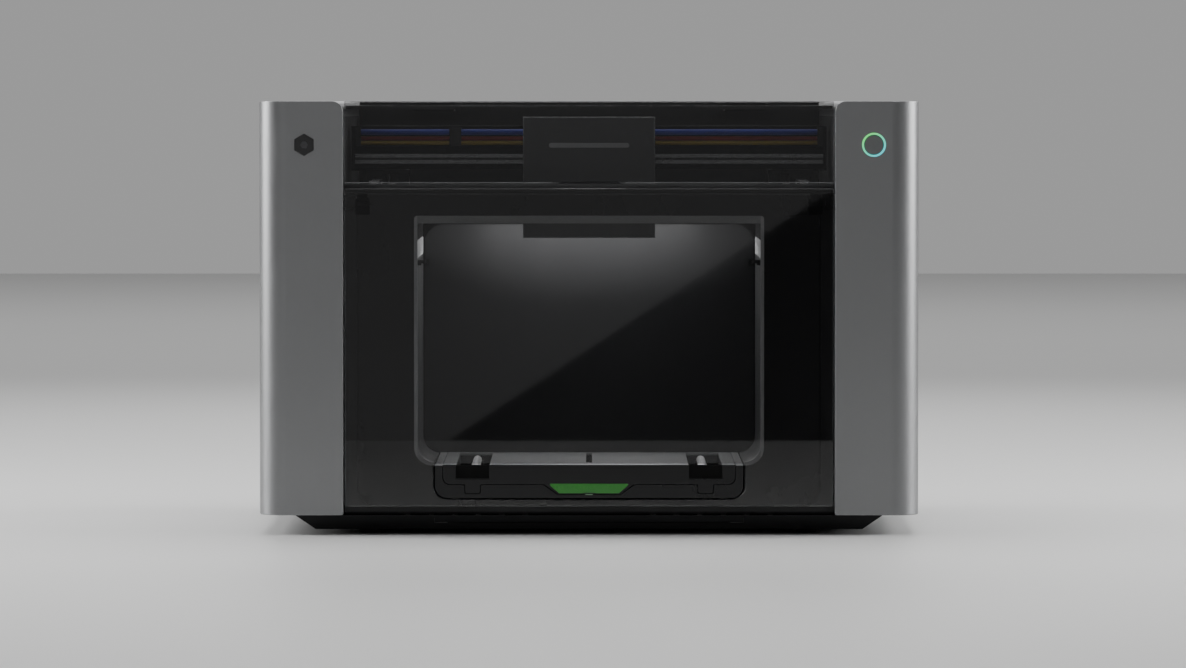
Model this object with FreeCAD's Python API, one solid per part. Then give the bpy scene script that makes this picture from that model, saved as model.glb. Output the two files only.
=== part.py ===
"""Desktop laser cutter: two silver side housings with a glazed work chamber between them.

Millimetres, +Z up, front towards -Y. The origin is on the floor under the middle of the machine.
Every physical piece is written to its own STEP file.
"""
import FreeCAD, Part
import math
import os

# ---- overall sizes
width = 600.0
height = 394.0
body_depth = 420.0
collar_out = 24.0            # exhaust collar beyond the rear panel
foot_height = 5.0
column_width = 77.0
column_bottom = 18.0
wall = 2.5                   # moulded housings
sheet = 3.0                  # folded steel
gap = 0.3                    # clearance between pieces that sit in each other
run = 0.05                   # radial clearance of a shaft in a bore
slot_gap = 1.5               # gap round a moving panel

# ---- front
glass = 4.0
glass_setback = 2.0          # door and lid glass behind the front of the columns
door_bottom = 26.0
door_top = 315.0
hinge_z = 309.0
hinge_behind = 6.4           # hinge axis behind the door's outer face
hinge_pin_r = 1.2
knuckle_r = 2.3
lid_band_bottom = 319.5
fascia_setback = 11.0
fascia_thickness = 6.0
fascia_margin = 12.0         # fascia's edge to the side housing
fascia_bottom = 25.0
fascia_top = 310.0
fascia_corner_r = 18.0
window_top = 290.0
bezel_wall = 2.8
bezel_top = 7.0
bezel_depth = 13.0
bezel_proud = 1.2
chamber_corner_r = 16.0

# ---- work chamber and its tray
chamber_half = 156.2
chamber_depth = 222.0        # behind the fascia's front face
chamber_wall = 2.0
bed_top = 63.4
lamp_bottom = 250.0
lamp_top = 267.0
tray_bottom = 33.5
tray_corner_r = 13.0
insert_bottom = 46.2
plate_thickness = 12.7
channel_half = 15.4
rod_r = 4.0
centre_slot_width = 5.6
pull_top_half = 37.2
pull_bottom_half = 27.2
pull_height = 8.2
tab_half = 6.8
tab_drop = 8.2

# ---- gantry
deck_z = 284.0
rail_base_height = 28.0
rail_width = 9.0
rail_height = 6.5
y_rail_inset = 27.0          # rail's middle to the side housing
beam_side_gap = 6.0          # beam's end to the side housing
clip_half = 5.5
end_clip_half = 2.5
beam_bottom = 331.0
beam_top = 371.0
beam_depth = 24.0
x_rail_bottom = 336.1
head_width = 121.2
head_depth = 54.0
head_bottom = 268.3
head_top = 379.5
head_setback = 80.0          # head's front behind the columns' front, at rest
head_wall = 2.0
carriage_stack = 10.0        # beam face to the back of the head plate
cables = (("blue", 365.2, 2.8), ("red", 359.5, 2.05), ("yellow", 355.3, 2.05))
pulley_r = 6.366
belt_thickness = 1.4
belt_width = 6.0

# ---- rear services
collar_r = 37.5
collar_wall = 2.0
fan_r = 52.0
fan_z = 150.0
fan_frame_depth = 32.0

# ---- controls
ring_r = 10.6
button_r = 8.8
button_travel = 1.5

# ---- places that follow from the sizes
half_w = width / 2
inner_half = half_w - column_width
beam_half = inner_half - beam_side_gap
y_rail_x = inner_half - y_rail_inset
fascia_half = inner_half - fascia_margin
ring_x = inner_half + 35.3
ring_z = height - 39.6
window_half = chamber_half + 2.8
tray_half = chamber_half - 16.2
insert_half = tray_half - 7.3
channel_centre = insert_half - 26.9
rod_offset = channel_centre - 1.3
front_y = -(body_depth + collar_out) / 2
rear_y = front_y + body_depth
door_y = front_y + glass_setback
fascia_y = front_y + fascia_setback
frame_y = fascia_y + fascia_thickness
pane_y = fascia_y + chamber_depth
hinge_y = door_y + hinge_behind
head_y = front_y + head_setback
plate_y = head_y + head_depth
beam_y = plate_y + carriage_stack
beam_back = beam_y + beam_depth
rail_base_top = deck_z + sheet + rail_base_height
belt_y_z = rail_base_top - 12.0
lid_axis_y = rear_y - 10.2
lid_axis_z = height - 3.0
lid_back = lid_axis_y - 3.4
lid_hinge_x = (-150.0, 150.0)
shaft_y = rear_y - 34.0
idler_y = frame_y + sheet + 22.0
belt_x = y_rail_x - 24.0
x_pulley_x = beam_half - 16.0
x_belt_y = beam_back + 11.0
x_belt_z = beam_top - 12.0

V = FreeCAD.Vector


def box(x0, x1, y0, y1, z0, z1):
    return Part.makeBox(x1 - x0, y1 - y0, z1 - z0, V(x0, y0, z0))


def cyl(r, length, base, axis):
    return Part.makeCylinder(r, length, V(*base), V(*axis))


def join(*shapes):
    return shapes[0].multiFuse(list(shapes[1:])).removeSplitter() if len(shapes) > 1 else shapes[0]


def mirror_x(shape):
    return shape.mirror(V(0, 0, 0), V(1, 0, 0))


def both(shape):
    """The piece and its mirror image, as separate solids."""
    return Part.makeCompound([shape, mirror_x(shape)])


def outline(points, radii, y):
    """Closed face in the plane Y = y from (x, z) corners, each rounded by its own radius."""
    n, edges, starts, ends = len(points), [], [], []
    for i, (x, z) in enumerate(points):
        here = V(x, y, z)
        back = V(points[i - 1][0], y, points[i - 1][1]) - here
        ahead = V(points[(i + 1) % n][0], y, points[(i + 1) % n][1]) - here
        if radii[i] <= 0:
            starts.append(here)
            ends.append(here)
            continue
        half = back.getAngle(ahead) / 2
        reach = radii[i] / math.tan(half)
        a = here + V(back).normalize() * reach
        b = here + V(ahead).normalize() * reach
        centre = here + (V(back).normalize() + V(ahead).normalize()).normalize() * (radii[i] / math.sin(half))
        middle = centre + (here - centre).normalize() * radii[i]
        edges.append(Part.Arc(a, middle, b).toShape())
        starts.append(a)
        ends.append(b)
    for i in range(n):
        if (starts[(i + 1) % n] - ends[i]).Length > 1e-6:
            edges.append(Part.LineSegment(ends[i], starts[(i + 1) % n]).toShape())
    return Part.Face(Part.Wire(Part.__sortEdges__(edges)))


def panel(points, radii, y0, y1):
    return outline(points, radii, y0).extrude(V(0, y1 - y0, 0))


def rect(half, z0, z1):
    return [(-half, z0), (half, z0), (half, z1), (-half, z1)]


def fillet(shape, radius, pick):
    """Rounds the edges that pick(edge) chooses."""
    chosen = [e for e in shape.Edges if pick(e)]
    return shape.makeFillet(radius, chosen) if chosen else shape


def along(edge, axis):
    """True when the edge is a straight line along that axis, 0 to 2."""
    if len(edge.Vertexes) != 2 or not isinstance(edge.Curve, Part.Line):
        return False
    d = edge.Vertexes[1].Point - edge.Vertexes[0].Point
    return abs(abs(d[axis]) - d.Length) < 1e-6


def on_face(edge, axis, value):
    """True when the whole edge lies where that coordinate has that value."""
    b = edge.BoundBox
    low, high = ((b.XMin, b.XMax), (b.YMin, b.YMax), (b.ZMin, b.ZMax))[axis]
    return abs(low - value) < 1e-3 and abs(high - value) < 1e-3


def screw(x, y, z, axis, r=2.6, head=1.6, length=8.0):
    """Pan-head screw: head outside the point, shank inside, with a hexagon socket. axis points outwards."""
    a = V(*axis)
    base = V(x, y, z)
    body = Part.makeCylinder(r, head, base, a)
    body = body.makeFillet(head * 0.45, [e for e in body.Edges
                           if (e.CenterOfMass - (base + a * head)).Length < 0.1 and e.Length > r])
    shank = Part.makeCylinder(r * 0.5, length + 0.1, base - a * length, a)
    side = V(0, 0, 1) if abs(a.z) < 0.5 else V(1, 0, 0)
    cross = a.cross(side)
    ring = [base + a * (head * 0.45) + (side * math.cos(k * math.pi / 3) + cross * math.sin(k * math.pi / 3))
            * (r * 0.5) for k in range(7)]
    socket = Part.Face(Part.makePolygon(ring)).extrude(a * head)
    return body.fuse(shank).cut(socket).removeSplitter()


def write(name, shape):
    solids = shape.Solids
    assert solids, name
    shape = solids[0] if len(solids) == 1 else Part.makeCompound(solids)
    shape.exportStep("parts/%s.step" % name)


# ---------------------------------------------------------------- base

def slanted_base(inset, z0, z1):
    """Frustum of the base: wide at the top, drawn in towards the floor on all sides."""
    top = (267.0 / 300 * half_w - inset, body_depth / 2 - 5 - inset)
    bottom = (top[0] - 18.0, top[1] - 14.0)
    middle_y = (front_y + rear_y) / 2
    wires = []
    for z, (hx, hy) in ((z0, bottom), (z1, top)):
        p = [V(-hx, middle_y - hy, z), V(hx, middle_y - hy, z), V(hx, middle_y + hy, z),
             V(-hx, middle_y + hy, z)]
        wires.append(Part.makePolygon(p + [p[0]]))
    return Part.makeLoft(wires, True, True)


def foot_places():
    return [(sx * 200.0, (front_y + rear_y) / 2 + sy * 165.0) for sx in (-1, 1) for sy in (-1, 1)]


def base_pan():
    pan = slanted_base(0, foot_height - 0.5, column_bottom)
    pan = pan.cut(slanted_base(sheet, foot_height - 0.5 + sheet, column_bottom + 0.01))
    for x, y in foot_places():
        pan = pan.fuse(cyl(12, column_bottom - foot_height - 3, (x, y, foot_height - 0.5), (0, 0, 1)))
        pan = pan.cut(cyl(2.0, 12, (x, y, foot_height - 1), (0, 0, 1)))
    hatch_y = (front_y + rear_y) / 2 - body_depth / 2
    groove = box(-140.5, 140.5, hatch_y, hatch_y + 30, 10.6, 11.6)
    sides = [box(s * 140.5 - 0.5, s * 140.5 + 0.5, hatch_y, hatch_y + 30, 10.6, 16) for s in (-1, 1)]
    skin = slanted_base(1.0, foot_height - 0.5, column_bottom)
    for cutter in [groove] + sides:
        pan = pan.cut(cutter.cut(skin))
    for row in range(6):
        for side in (-1, 1):
            x = side * (60 + row * 22.0)
            pan = pan.cut(box(x - 3, x + 3, -60, 60, foot_height - 1, foot_height + sheet))
    return pan.removeSplitter()


def base_deck():
    deck = box(-inner_half + 1, inner_half - 1, frame_y + sheet, rear_y - sheet, column_bottom,
               column_bottom + 2)
    for side in (-1, 1):
        x = side * (tray_half - 18)
        deck = deck.fuse(box(x - 4, x + 4, frame_y + 8, pane_y - 10, column_bottom, tray_bottom - gap))
    return deck.removeSplitter()


def rubber_feet():
    feet = []
    for x, y in foot_places():
        foot = cyl(10, foot_height - 0.5, (x, y, 0), (0, 0, 1))
        foot = fillet(foot, 1.2, lambda e: on_face(e, 2, 0))
        feet.append(foot.cut(cyl(4.5, 3.0, (x, y, -0.01), (0, 0, 1))).cut(cyl(2.0, 9, (x, y, -1), (0, 0,
                                                                                                   1))))
    return Part.makeCompound(feet)


def casing_screws():
    found = [screw(x, y, 2.99 - 1.6, (0, 0, -1), r=3.6, head=1.4, length=9) for x, y in foot_places()]
    for side in (-1, 1):
        for z in (40, 130, 220, 330):
            found.append(screw(side * (inner_half - 7), rear_y, z, (0, 1, 0)))
    for x in (-60, 60):
        found.append(screw(x, rear_y, 34, (0, 1, 0)))
    return Part.makeCompound(found)


# ---------------------------------------------------------------- side housings

def housing():
    """Right-hand housing: rounded outer corners, open on its inner side for the side frame."""
    pts = [(inner_half, column_bottom), (half_w, column_bottom), (half_w, height), (inner_half, height)]
    outer = panel(pts, (2, 1.5, 1.5, 10), front_y, rear_y)
    body = outer
    corner = 25.0
    for y, s in ((front_y, 1), (rear_y, -1)):
        block = box(half_w - corner, half_w + 1, min(y - s, y + s * corner), max(y - s, y + s * corner), 0,
                    height + 1)
        block = block.cut(cyl(corner, height + 2, (half_w - corner, y + s * corner, -0.5), (0, 0, 1)))
        body = body.cut(block)
    inner_corner = corner - wall
    cavity = box(inner_half + sheet, half_w - wall, front_y + wall, rear_y - wall, column_bottom + wall,
                 height - wall)
    cavity = fillet(cavity, inner_corner, lambda e: along(e, 2) and e.BoundBox.XMin > half_w - wall - 1)
    body = body.cut(cavity)
    border = 14.0
    body = body.cut(box(inner_half - 1, inner_half + sheet + 1, front_y + border, rear_y - border,
                        column_bottom + border, height - border))
    for k in range(9):
        y = rear_y - 60 - k * 9.0
        body = body.cut(box(half_w - wall - 1, half_w + 1, y - 2, y + 2, 52, 84))
    body = fillet(body, 0.8, lambda e: on_face(e, 1, front_y) and e.Length > 20)
    return body.removeSplitter()


def right_housing():
    hole = cyl(ring_r + gap, 12, (ring_x, front_y - 1, ring_z), (0, 1, 0))
    return housing().cut(hole)


def left_housing():
    body = mirror_x(housing())
    six = [(-ring_x + 10.5 * math.cos(math.pi / 6 + k * math.pi / 3), ring_z + 10.5
            * math.sin(math.pi / 6 + k * math.pi / 3)) for k in range(6)]
    return body.cut(panel(six, [1.0] * 6, front_y - 1, front_y + 1.2))


def side_frame():
    edge = 14.0
    plate = box(inner_half, inner_half + sheet, front_y + edge, rear_y - edge, column_bottom + edge,
                height - edge)
    for y in (-90.0, 60.0):
        plate = plate.cut(cyl(9, 8, (inner_half - 1, y, 230), (1, 0, 0)))
    return both(plate)


# ---------------------------------------------------------------- front

def window_cutter(grow, y0, y1):
    return panel(rect(window_half + grow, bed_top - 0.4 - grow, window_top + grow),
                 (chamber_corner_r, chamber_corner_r, 3, 3), y0, y1)


def tray_cutter(y0, y1):
    return panel(rect(tray_half + slot_gap, tray_bottom - slot_gap, bed_top + 6),
                 (tray_corner_r, tray_corner_r, 0, 0), y0, y1)


def front_frame():
    plate = box(-inner_half + 0.5, inner_half - 0.5, frame_y, frame_y + sheet, column_bottom + 2,
                lid_band_bottom - 1.5)
    ledge = box(-inner_half + 0.5, inner_half - 0.5, frame_y - 3, frame_y + sheet, lid_band_bottom - 3,
                lid_band_bottom - 0.8)
    plate = plate.fuse(ledge)
    plate = plate.cut(window_cutter(0, frame_y - 1, frame_y + sheet + 1))
    return plate.cut(tray_cutter(frame_y - 9, frame_y + sheet + 1)).removeSplitter()


def front_fascia():
    body = panel(rect(fascia_half, fascia_bottom, fascia_top), (fascia_corner_r, fascia_corner_r, 2, 2),
                 fascia_y, frame_y)
    body = fillet(body, 2.5, lambda e: on_face(e, 1, fascia_y))
    body = body.cut(window_cutter(0, fascia_y - 1, frame_y + 1)).cut(tray_cutter(fascia_y - 1, frame_y + 1))
    return body.removeSplitter()


def window_bezel():
    outer = window_cutter(0, fascia_y - bezel_proud, fascia_y + bezel_depth)
    inner = panel(rect(window_half - bezel_wall, bed_top - 0.4 + bezel_wall, window_top - bezel_top),
                  (chamber_corner_r, chamber_corner_r, 2,
                   2), fascia_y - bezel_proud - 1, fascia_y + bezel_depth + 1)
    ring = outer.cut(inner)
    ring = ring.cut(box(-tray_half - slot_gap, tray_half + slot_gap, fascia_y - 5, fascia_y + 30, 0,
                        bed_top + 8))
    top_gate = box(-chamber_half, chamber_half, frame_y + sheet + 0.5, fascia_y + 30, deck_z - 4,
                   window_top + 5)
    return ring.cut(top_gate).removeSplitter()


# ---------------------------------------------------------------- chamber

def chamber_walls():
    """Right wall, mirrored: upright sheet that rounds into a short floor strip beside the tray."""
    start = fascia_y + bezel_depth + gap
    outer = panel(rect(chamber_half + chamber_wall, bed_top - 0.4 - chamber_wall, lamp_bottom),
                  (chamber_corner_r + chamber_wall, chamber_corner_r + chamber_wall, 0, 0), start, pane_y)
    inner = panel(rect(chamber_half, bed_top - 0.4, lamp_bottom + 1), (chamber_corner_r, chamber_corner_r,
                                                                       0, 0),
                  start - 1, pane_y + 1)
    right = outer.cut(inner).common(box(tray_half + slot_gap, width, start - 1, pane_y + 1, 0, height))
    return both(right)


def chamber_lamps():
    start = fascia_y + bezel_depth + gap
    lamp = box(chamber_half, chamber_half + 5, start, pane_y, lamp_bottom, lamp_top)
    lamp = fillet(lamp, 1.5, lambda e: along(e, 1) and e.BoundBox.XMax < chamber_half + 1)
    return both(lamp)


def rear_pane():
    return panel(rect(chamber_half - 1.2, bed_top - 2, deck_z - 6), (18, 18, 18, 18), pane_y, pane_y + 3)


def rear_wall():
    """Slotted sheet behind the pane, with a clip each side that holds the pane's edge."""
    y = pane_y + 3
    plate = box(-chamber_half - 2, chamber_half + 2, y, y + 2, column_bottom + 2, deck_z)
    for k in range(12):
        x = -99 + k * 18.0
        plate = plate.cut(box(x - 5, x + 5, y - 1, y + 3, 86, 214))
    clip = box(chamber_half - 6.6, chamber_half - 0.2, pane_y - 6, pane_y, 239, 245.5)
    arm = box(chamber_half - 0.9, chamber_half - 0.2, pane_y - 6, y + 1, 240.5, 244)
    clip = clip.fuse(arm)
    return plate.multiFuse([clip, mirror_x(clip)]).removeSplitter()


# ---------------------------------------------------------------- tray and its work plate insert

def insert_outline(grow, y0, y1):
    """Front view of the insert: a straight lower edge with two square tabs and a dip for the pull."""
    z0 = insert_bottom - grow
    zt = insert_bottom - tab_drop - grow
    zp = insert_bottom - pull_height - 0.9 - grow
    h, t = insert_half + grow, tab_half + grow
    wide, narrow = pull_top_half + 3.5 + grow, pull_bottom_half + 1.0 + grow
    right = [(narrow, zp), (wide, z0), (channel_centre - t, z0), (channel_centre - t, zt),
             (channel_centre + t, zt),
             (channel_centre + t, z0), (h, z0), (h, bed_top + (10 if grow else 0))]
    radii = [1, 1, 1.5, 2, 2, 1.5, 7, 0]
    left = [(-x, z) for x, z in reversed(right)]
    return panel(left + right, list(reversed(radii)) + radii, y0, y1)


def tray_pan():
    """Outer tray: front moulding with the insert's shape cut from it, and the trough behind."""
    back = pane_y - 4.0
    front = panel(rect(tray_half, tray_bottom, bed_top), (tray_corner_r - slot_gap,
                                                          tray_corner_r - slot_gap, 0, 0),
                  door_y, back)
    front = fillet(front, 0.8, lambda e: on_face(e, 1, door_y))
    body = front.cut(insert_outline(0.6, door_y - 1, frame_y + 10))
    body = body.cut(box(-insert_half - 0.6, insert_half + 0.6, fascia_y - 0.6, back - 3,
                        insert_bottom - 0.6, height))
    body = body.cut(box(-insert_half + 8, insert_half - 8, frame_y + 16, back - 6, tray_bottom + 2.5,
                        height))
    return body.removeSplitter()


def insert_front():
    """Black front of the insert, down to the pull, with the two channel pockets sunk in its face."""
    body = insert_outline(0, door_y, frame_y + 8)
    body = body.cut(box(-insert_half - 1, insert_half + 1, fascia_y, frame_y + 20, insert_bottom, height))
    body = body.cut(pull_shape(0))
    for side in (-1, 1):
        x = side * channel_centre
        body = body.cut(box(x - channel_half, x + channel_half, door_y - 1, door_y + 5,
                            bed_top - plate_thickness, bed_top + 1))
    return body.removeSplitter()


def pull_shape(grow):
    z1 = insert_bottom + 0.6 + grow
    z0 = insert_bottom - pull_height - grow
    pts = [(-pull_bottom_half - grow, z0), (pull_bottom_half + grow, z0), (pull_top_half + grow, z1),
           (-pull_top_half - grow, z1)]
    return panel(pts, (1, 1, 1, 1), door_y - 0.8, door_y + 7 + grow)


def pull_tab():
    body = pull_shape(0)
    body = fillet(body, 0.6, lambda e: on_face(e, 1, door_y - 0.8))
    return body.cut(cyl(9, 6, (0, door_y - 3.5, insert_bottom - pull_height - 6.5), (0, 1, 0)))


def work_plate():
    back = pane_y - 8.0
    body = box(-insert_half, insert_half, fascia_y, back, insert_bottom, bed_top)
    body = fillet(body, 3, lambda e: along(e, 2) and e.BoundBox.YMin > back - 1)
    body = body.common(insert_outline(0, fascia_y - 1, back + 1))
    for side in (-1, 1):
        x = side * channel_centre
        body = body.cut(box(x - channel_half, x + channel_half, fascia_y - 1, back - 9,
                            bed_top - plate_thickness, bed_top + 1))
        for y in (fascia_y + 12, back - 24):
            body = body.fuse(box(side * rod_offset - 5.5, side * rod_offset + 5.5, y, y + 6,
                                 bed_top - plate_thickness - 0.1, bed_top - 6.5))
            body = body.cut(cyl(rod_r + 0.02, 8, (side * rod_offset, y - 1, bed_top - rod_r - 1.4), (0, 1,
                                                                                                     0)))
    slot_start = fascia_y + 40
    body = body.cut(box(-centre_slot_width / 2, centre_slot_width / 2, slot_start, back - 6, bed_top - 5,
                        bed_top + 1))
    body = body.cut(box(-centre_slot_width, centre_slot_width, slot_start, back - 6, bed_top - 9,
                        bed_top - 4.9))
    return body.removeSplitter()


def guide_rods():
    rods = []
    for side in (-1, 1):
        length = pane_y - 8.0 - 26.0 - (fascia_y + 3)
        rod = cyl(rod_r, length, (side * rod_offset, fascia_y + 3, bed_top - rod_r - 1.4), (0, 1, 0))
        rods.append(rod.makeChamfer(0.8, [e for e in rod.Edges if e.Length > 10 and not along(e, 1)]))
    return Part.makeCompound(rods)


# ---------------------------------------------------------------- door

def door_glass():
    body = panel(rect(inner_half - 1, door_bottom, door_top), (2, 2, 2, 2), door_y, door_y + glass)
    body = body.cut(tray_cutter(door_y - 1, door_y + glass + 1).common(
        box(-width, width, door_y - 2, door_y + glass + 2, 0, bed_top + slot_gap)))
    return body.makeChamfer(0.5, [e for e in body.Edges if on_face(e, 1, door_y) and e.Length > 60])


def door_brackets():
    """Bonded to the back of the glass, each with a knuckle that turns on its hinge pin."""
    x0, x1 = inner_half - 22, inner_half - 12.5
    pad = box(inner_half - 24, inner_half - 11, door_y + glass, door_y + glass + 1.2, hinge_z - 18,
              hinge_z - 3.4)
    knuckle = cyl(knuckle_r, x1 - x0, (x0, hinge_y, hinge_z), (1, 0, 0))
    web = box(x0, x1, door_y + glass, hinge_y, hinge_z - 4.2, hinge_z + 0.5)
    body = join(pad, web, knuckle)
    return both(body.cut(cyl(hinge_pin_r + run, 40, (x0 - 5, hinge_y, hinge_z), (1, 0, 0))))


def hinge_blocks():
    """Fixed blocks on the side frames. Each carries the pin that the door's knuckle turns on."""
    x0 = inner_half - 11.5
    block = box(x0, inner_half, door_y + glass + 1.2, frame_y, hinge_z - 14, hinge_z + 0.8)
    block = block.fuse(cyl(2.0, inner_half - x0, (x0, hinge_y, hinge_z), (1, 0, 0)))
    pin = cyl(hinge_pin_r, 11.5, (x0 - 11, hinge_y, hinge_z), (1, 0, 0))
    return both(block.fuse(pin).removeSplitter())


# ---------------------------------------------------------------- lid

def lid_glass():
    back = lid_back
    profile = [(door_y, lid_band_bottom), (door_y + glass, lid_band_bottom), (door_y + glass,
                                                                              height - glass),
               (back, height - glass), (back, height), (door_y, height)]
    points = [V(-inner_half + 1, y, z) for y, z in profile]
    body = Part.Face(Part.makePolygon(points + [points[0]])).extrude(V(2 * inner_half - 2, 0, 0))
    body = fillet(body, 4, lambda e: along(e, 0) and on_face(e, 1, door_y) and on_face(e, 2, height))
    inside = (door_y + glass, height - glass)
    body = fillet(body, 1.5, lambda e: along(e, 0) and on_face(e, 1, inside[0]) and on_face(e, 2, inside[1]))
    notch = panel([(-31, lid_band_bottom - 2), (31, lid_band_bottom - 2), (27, lid_band_bottom + 1.6),
                   (-27, lid_band_bottom + 1.6)], (0, 0, 1, 1), door_y - 1, door_y + glass + 1)
    return body.cut(notch)


def lid_frame():
    """Black frame bonded under the glass, round its three rear sides, with a lip behind the front band."""
    z1, z0 = height - glass, height - glass - 3.5
    y0, y1 = door_y + glass + 1.7, lid_back
    outer = box(-inner_half + 2, inner_half - 2, y0, y1, z0, z1)
    inner = box(-inner_half + 14, inner_half - 14, y0 + 7, y1 - 14, z0 - 1, z1 + 1)
    return fillet(outer.cut(inner), 1.0, lambda e: along(e, 2) and abs(e.BoundBox.XMin) < inner_half - 10)


def lid_leaves():
    """Steel leaves under the rear of the frame, each rolled round the lid's axis."""
    leaves = []
    z1 = height - glass - 3.5
    for x in lid_hinge_x:
        leaf = box(x - 20, x + 20, lid_axis_y - 44, lid_axis_y - 0.9, z1 - 2, z1)
        web = box(x - 20, x + 20, lid_axis_y - 2.9, lid_axis_y - 0.9, z1 - 2, lid_axis_z)
        barrel = cyl(3.0, 40, (x - 20, lid_axis_y, lid_axis_z), (1, 0, 0))
        leaf = join(leaf, web, barrel)
        leaves.append(leaf.cut(cyl(1.5 + run, 60, (x - 30, lid_axis_y, lid_axis_z), (1, 0, 0))))
    return Part.makeCompound(leaves)


def lid_hinge_rail():
    """Rear cross rail with two pairs of ears and the pins between them."""
    rail = box(-inner_half + 0.5, inner_half - 0.5, rear_y - 5, rear_y, height - 26, height)
    rail = fillet(rail, 1.5, lambda e: along(e, 0) and on_face(e, 2, height))
    for x in lid_hinge_x:
        for s in (-1, 1):
            x0 = x + s * 23 - 2.5
            ear = box(x0, x0 + 5, lid_axis_y, rear_y - 4, lid_axis_z - 9, lid_axis_z + 1)
            rail = rail.multiFuse([ear, cyl(3.0, 5, (x0, lid_axis_y, lid_axis_z), (1, 0, 0))])
        rail = rail.fuse(cyl(1.5, 46, (x - 23, lid_axis_y, lid_axis_z), (1, 0, 0)))
    return rail.removeSplitter()


# ---------------------------------------------------------------- rear

def rear_panel():
    top = height - 26
    plate = box(-inner_half + 0.5, inner_half - 0.5, rear_y - sheet, rear_y, column_bottom + gap, top)
    plate = plate.cut(cyl(collar_r - 0.3, 10, (0, rear_y - 6, fan_z), (0, 1, 0)))
    for side in (-1, 1):
        for row in range(5):
            z = 262 + row * 9
            plate = plate.cut(box(side * 130 - 55, side * 130 + 55, rear_y - 8, rear_y + 1, z - 1.8,
                                  z + 1.8))
    plate = plate.cut(box(150, 178, rear_y - 8, rear_y + 1, 60, 110))
    for side in (-1, 1):
        for z in (40, 130, 220, 330):
            plate = plate.cut(cyl(1.5, 10, (side * (inner_half - 7), rear_y - 6, z), (0, 1, 0)))
    for x in (-60, 60):
        plate = plate.cut(cyl(1.5, 10, (x, rear_y - 6, 34), (0, 1, 0)))
    return plate


def exhaust_collar():
    flange_y = rear_y - sheet - 3.0
    body = cyl(collar_r - 0.5, sheet + 5.0, (0, flange_y, fan_z), (0, 1, 0))
    body = body.fuse(cyl(collar_r, collar_out - 1.0, (0, rear_y + 1.0, fan_z), (0, 1, 0)))
    body = body.fuse(cyl(collar_r + 8, 3.0, (0, flange_y, fan_z), (0, 1, 0)))
    return body.cut(cyl(collar_r - collar_wall, 80, (0, flange_y - 10, fan_z), (0, 1, 0))).removeSplitter()


def fan_frame():
    y1 = rear_y - sheet - 3.0
    y0 = y1 - fan_frame_depth
    half = fan_r + 8
    body = box(-half, half, y0, y1, fan_z - half, fan_z + half)
    body = fillet(body, 6, lambda e: along(e, 1))
    body = body.cut(cyl(fan_r + 1.5, 60, (0, y0 - 5, fan_z), (0, 1, 0)))
    hub = cyl(18, 4, (0, y1 - 4, fan_z), (0, 1, 0))
    for k in range(4):
        arm = box(-2, 2, y1 - 4, y1, fan_z + 15, fan_z + fan_r + 3)
        arm.rotate(V(0, 0, fan_z), V(0, 1, 0), 45 + 90 * k)
        hub = hub.fuse(arm)
    spindle = cyl(2.5, 20, (0, y1 - 23, fan_z), (0, 1, 0))
    legs = [box(s * (half - 8) - 5, s * (half - 8) + 5, y0, y1, column_bottom + 2, fan_z - half + 6)
            for s in (-1, 1)]
    return body.multiFuse([hub, spindle] + legs).removeSplitter()


def rotor(radius, hub_r, depth, blades, y0, x, z, bore):
    """Axial fan wheel: hub with twisted blades, turning about Y."""
    wheel = cyl(hub_r, depth, (x, y0, z), (0, 1, 0))
    parts = []
    for k in range(blades):
        blade = box(-1.0, 1.0, -depth * 0.55, depth * 0.55, hub_r - 1.5, radius)
        blade.rotate(V(0, 0, 0), V(0, 0, 1), 38)
        blade.translate(V(x, y0 + depth / 2, z))
        blade.rotate(V(x, 0, z), V(0, 1, 0), 360.0 / blades * k)
        parts.append(blade)
    wheel = wheel.multiFuse(parts).common(box(-500, 500, y0, y0 + depth, 0, 500))
    wheel = wheel.common(cyl(radius, depth + 2, (x, y0 - 1, z), (0, 1, 0)))
    return wheel.cut(cyl(bore, depth - 3, (x, y0 + 3, z), (0, 1, 0))).removeSplitter()


def exhaust_impeller():
    y0 = rear_y - sheet - 3.0 - 4.5 - 22
    return rotor(fan_r, 18, 22, 7, y0, 0.0, fan_z, 2.5 + run)


def power_supply():
    y0, y1 = pane_y + 40, rear_y - 40
    cover = fillet(box(-180, -90, y0, y1, column_bottom + 2, column_bottom + 62), 1.5, lambda e: along(e,
                                                                                                       2))
    return cover.cut(box(-178.5, -91.5, y0 + 1.5, y1 - 1.5, 0, column_bottom + 60.5))


def control_board():
    x = inner_half + sheet + 8
    board = box(x, x + 1.6, -120, 60, 80, 220)
    chips = [box(x + 1.5, x + 3.4, y, y + w, z, z + w) for y, z, w in ((-60, 140, 20), (-20, 180, 14),
                                                                       (10, 110, 12))]
    plugs = [box(x + 1.5, x + 12, -112 + k * 22.0, -98 + k * 22.0, 84, 92) for k in range(7)]
    posts = [cyl(3, 8.05, (x - 8, y, z), (1, 0, 0)) for y in (-114, 54) for z in (86, 214)]
    return board.multiFuse(chips + plugs + posts).removeSplitter()


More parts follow.
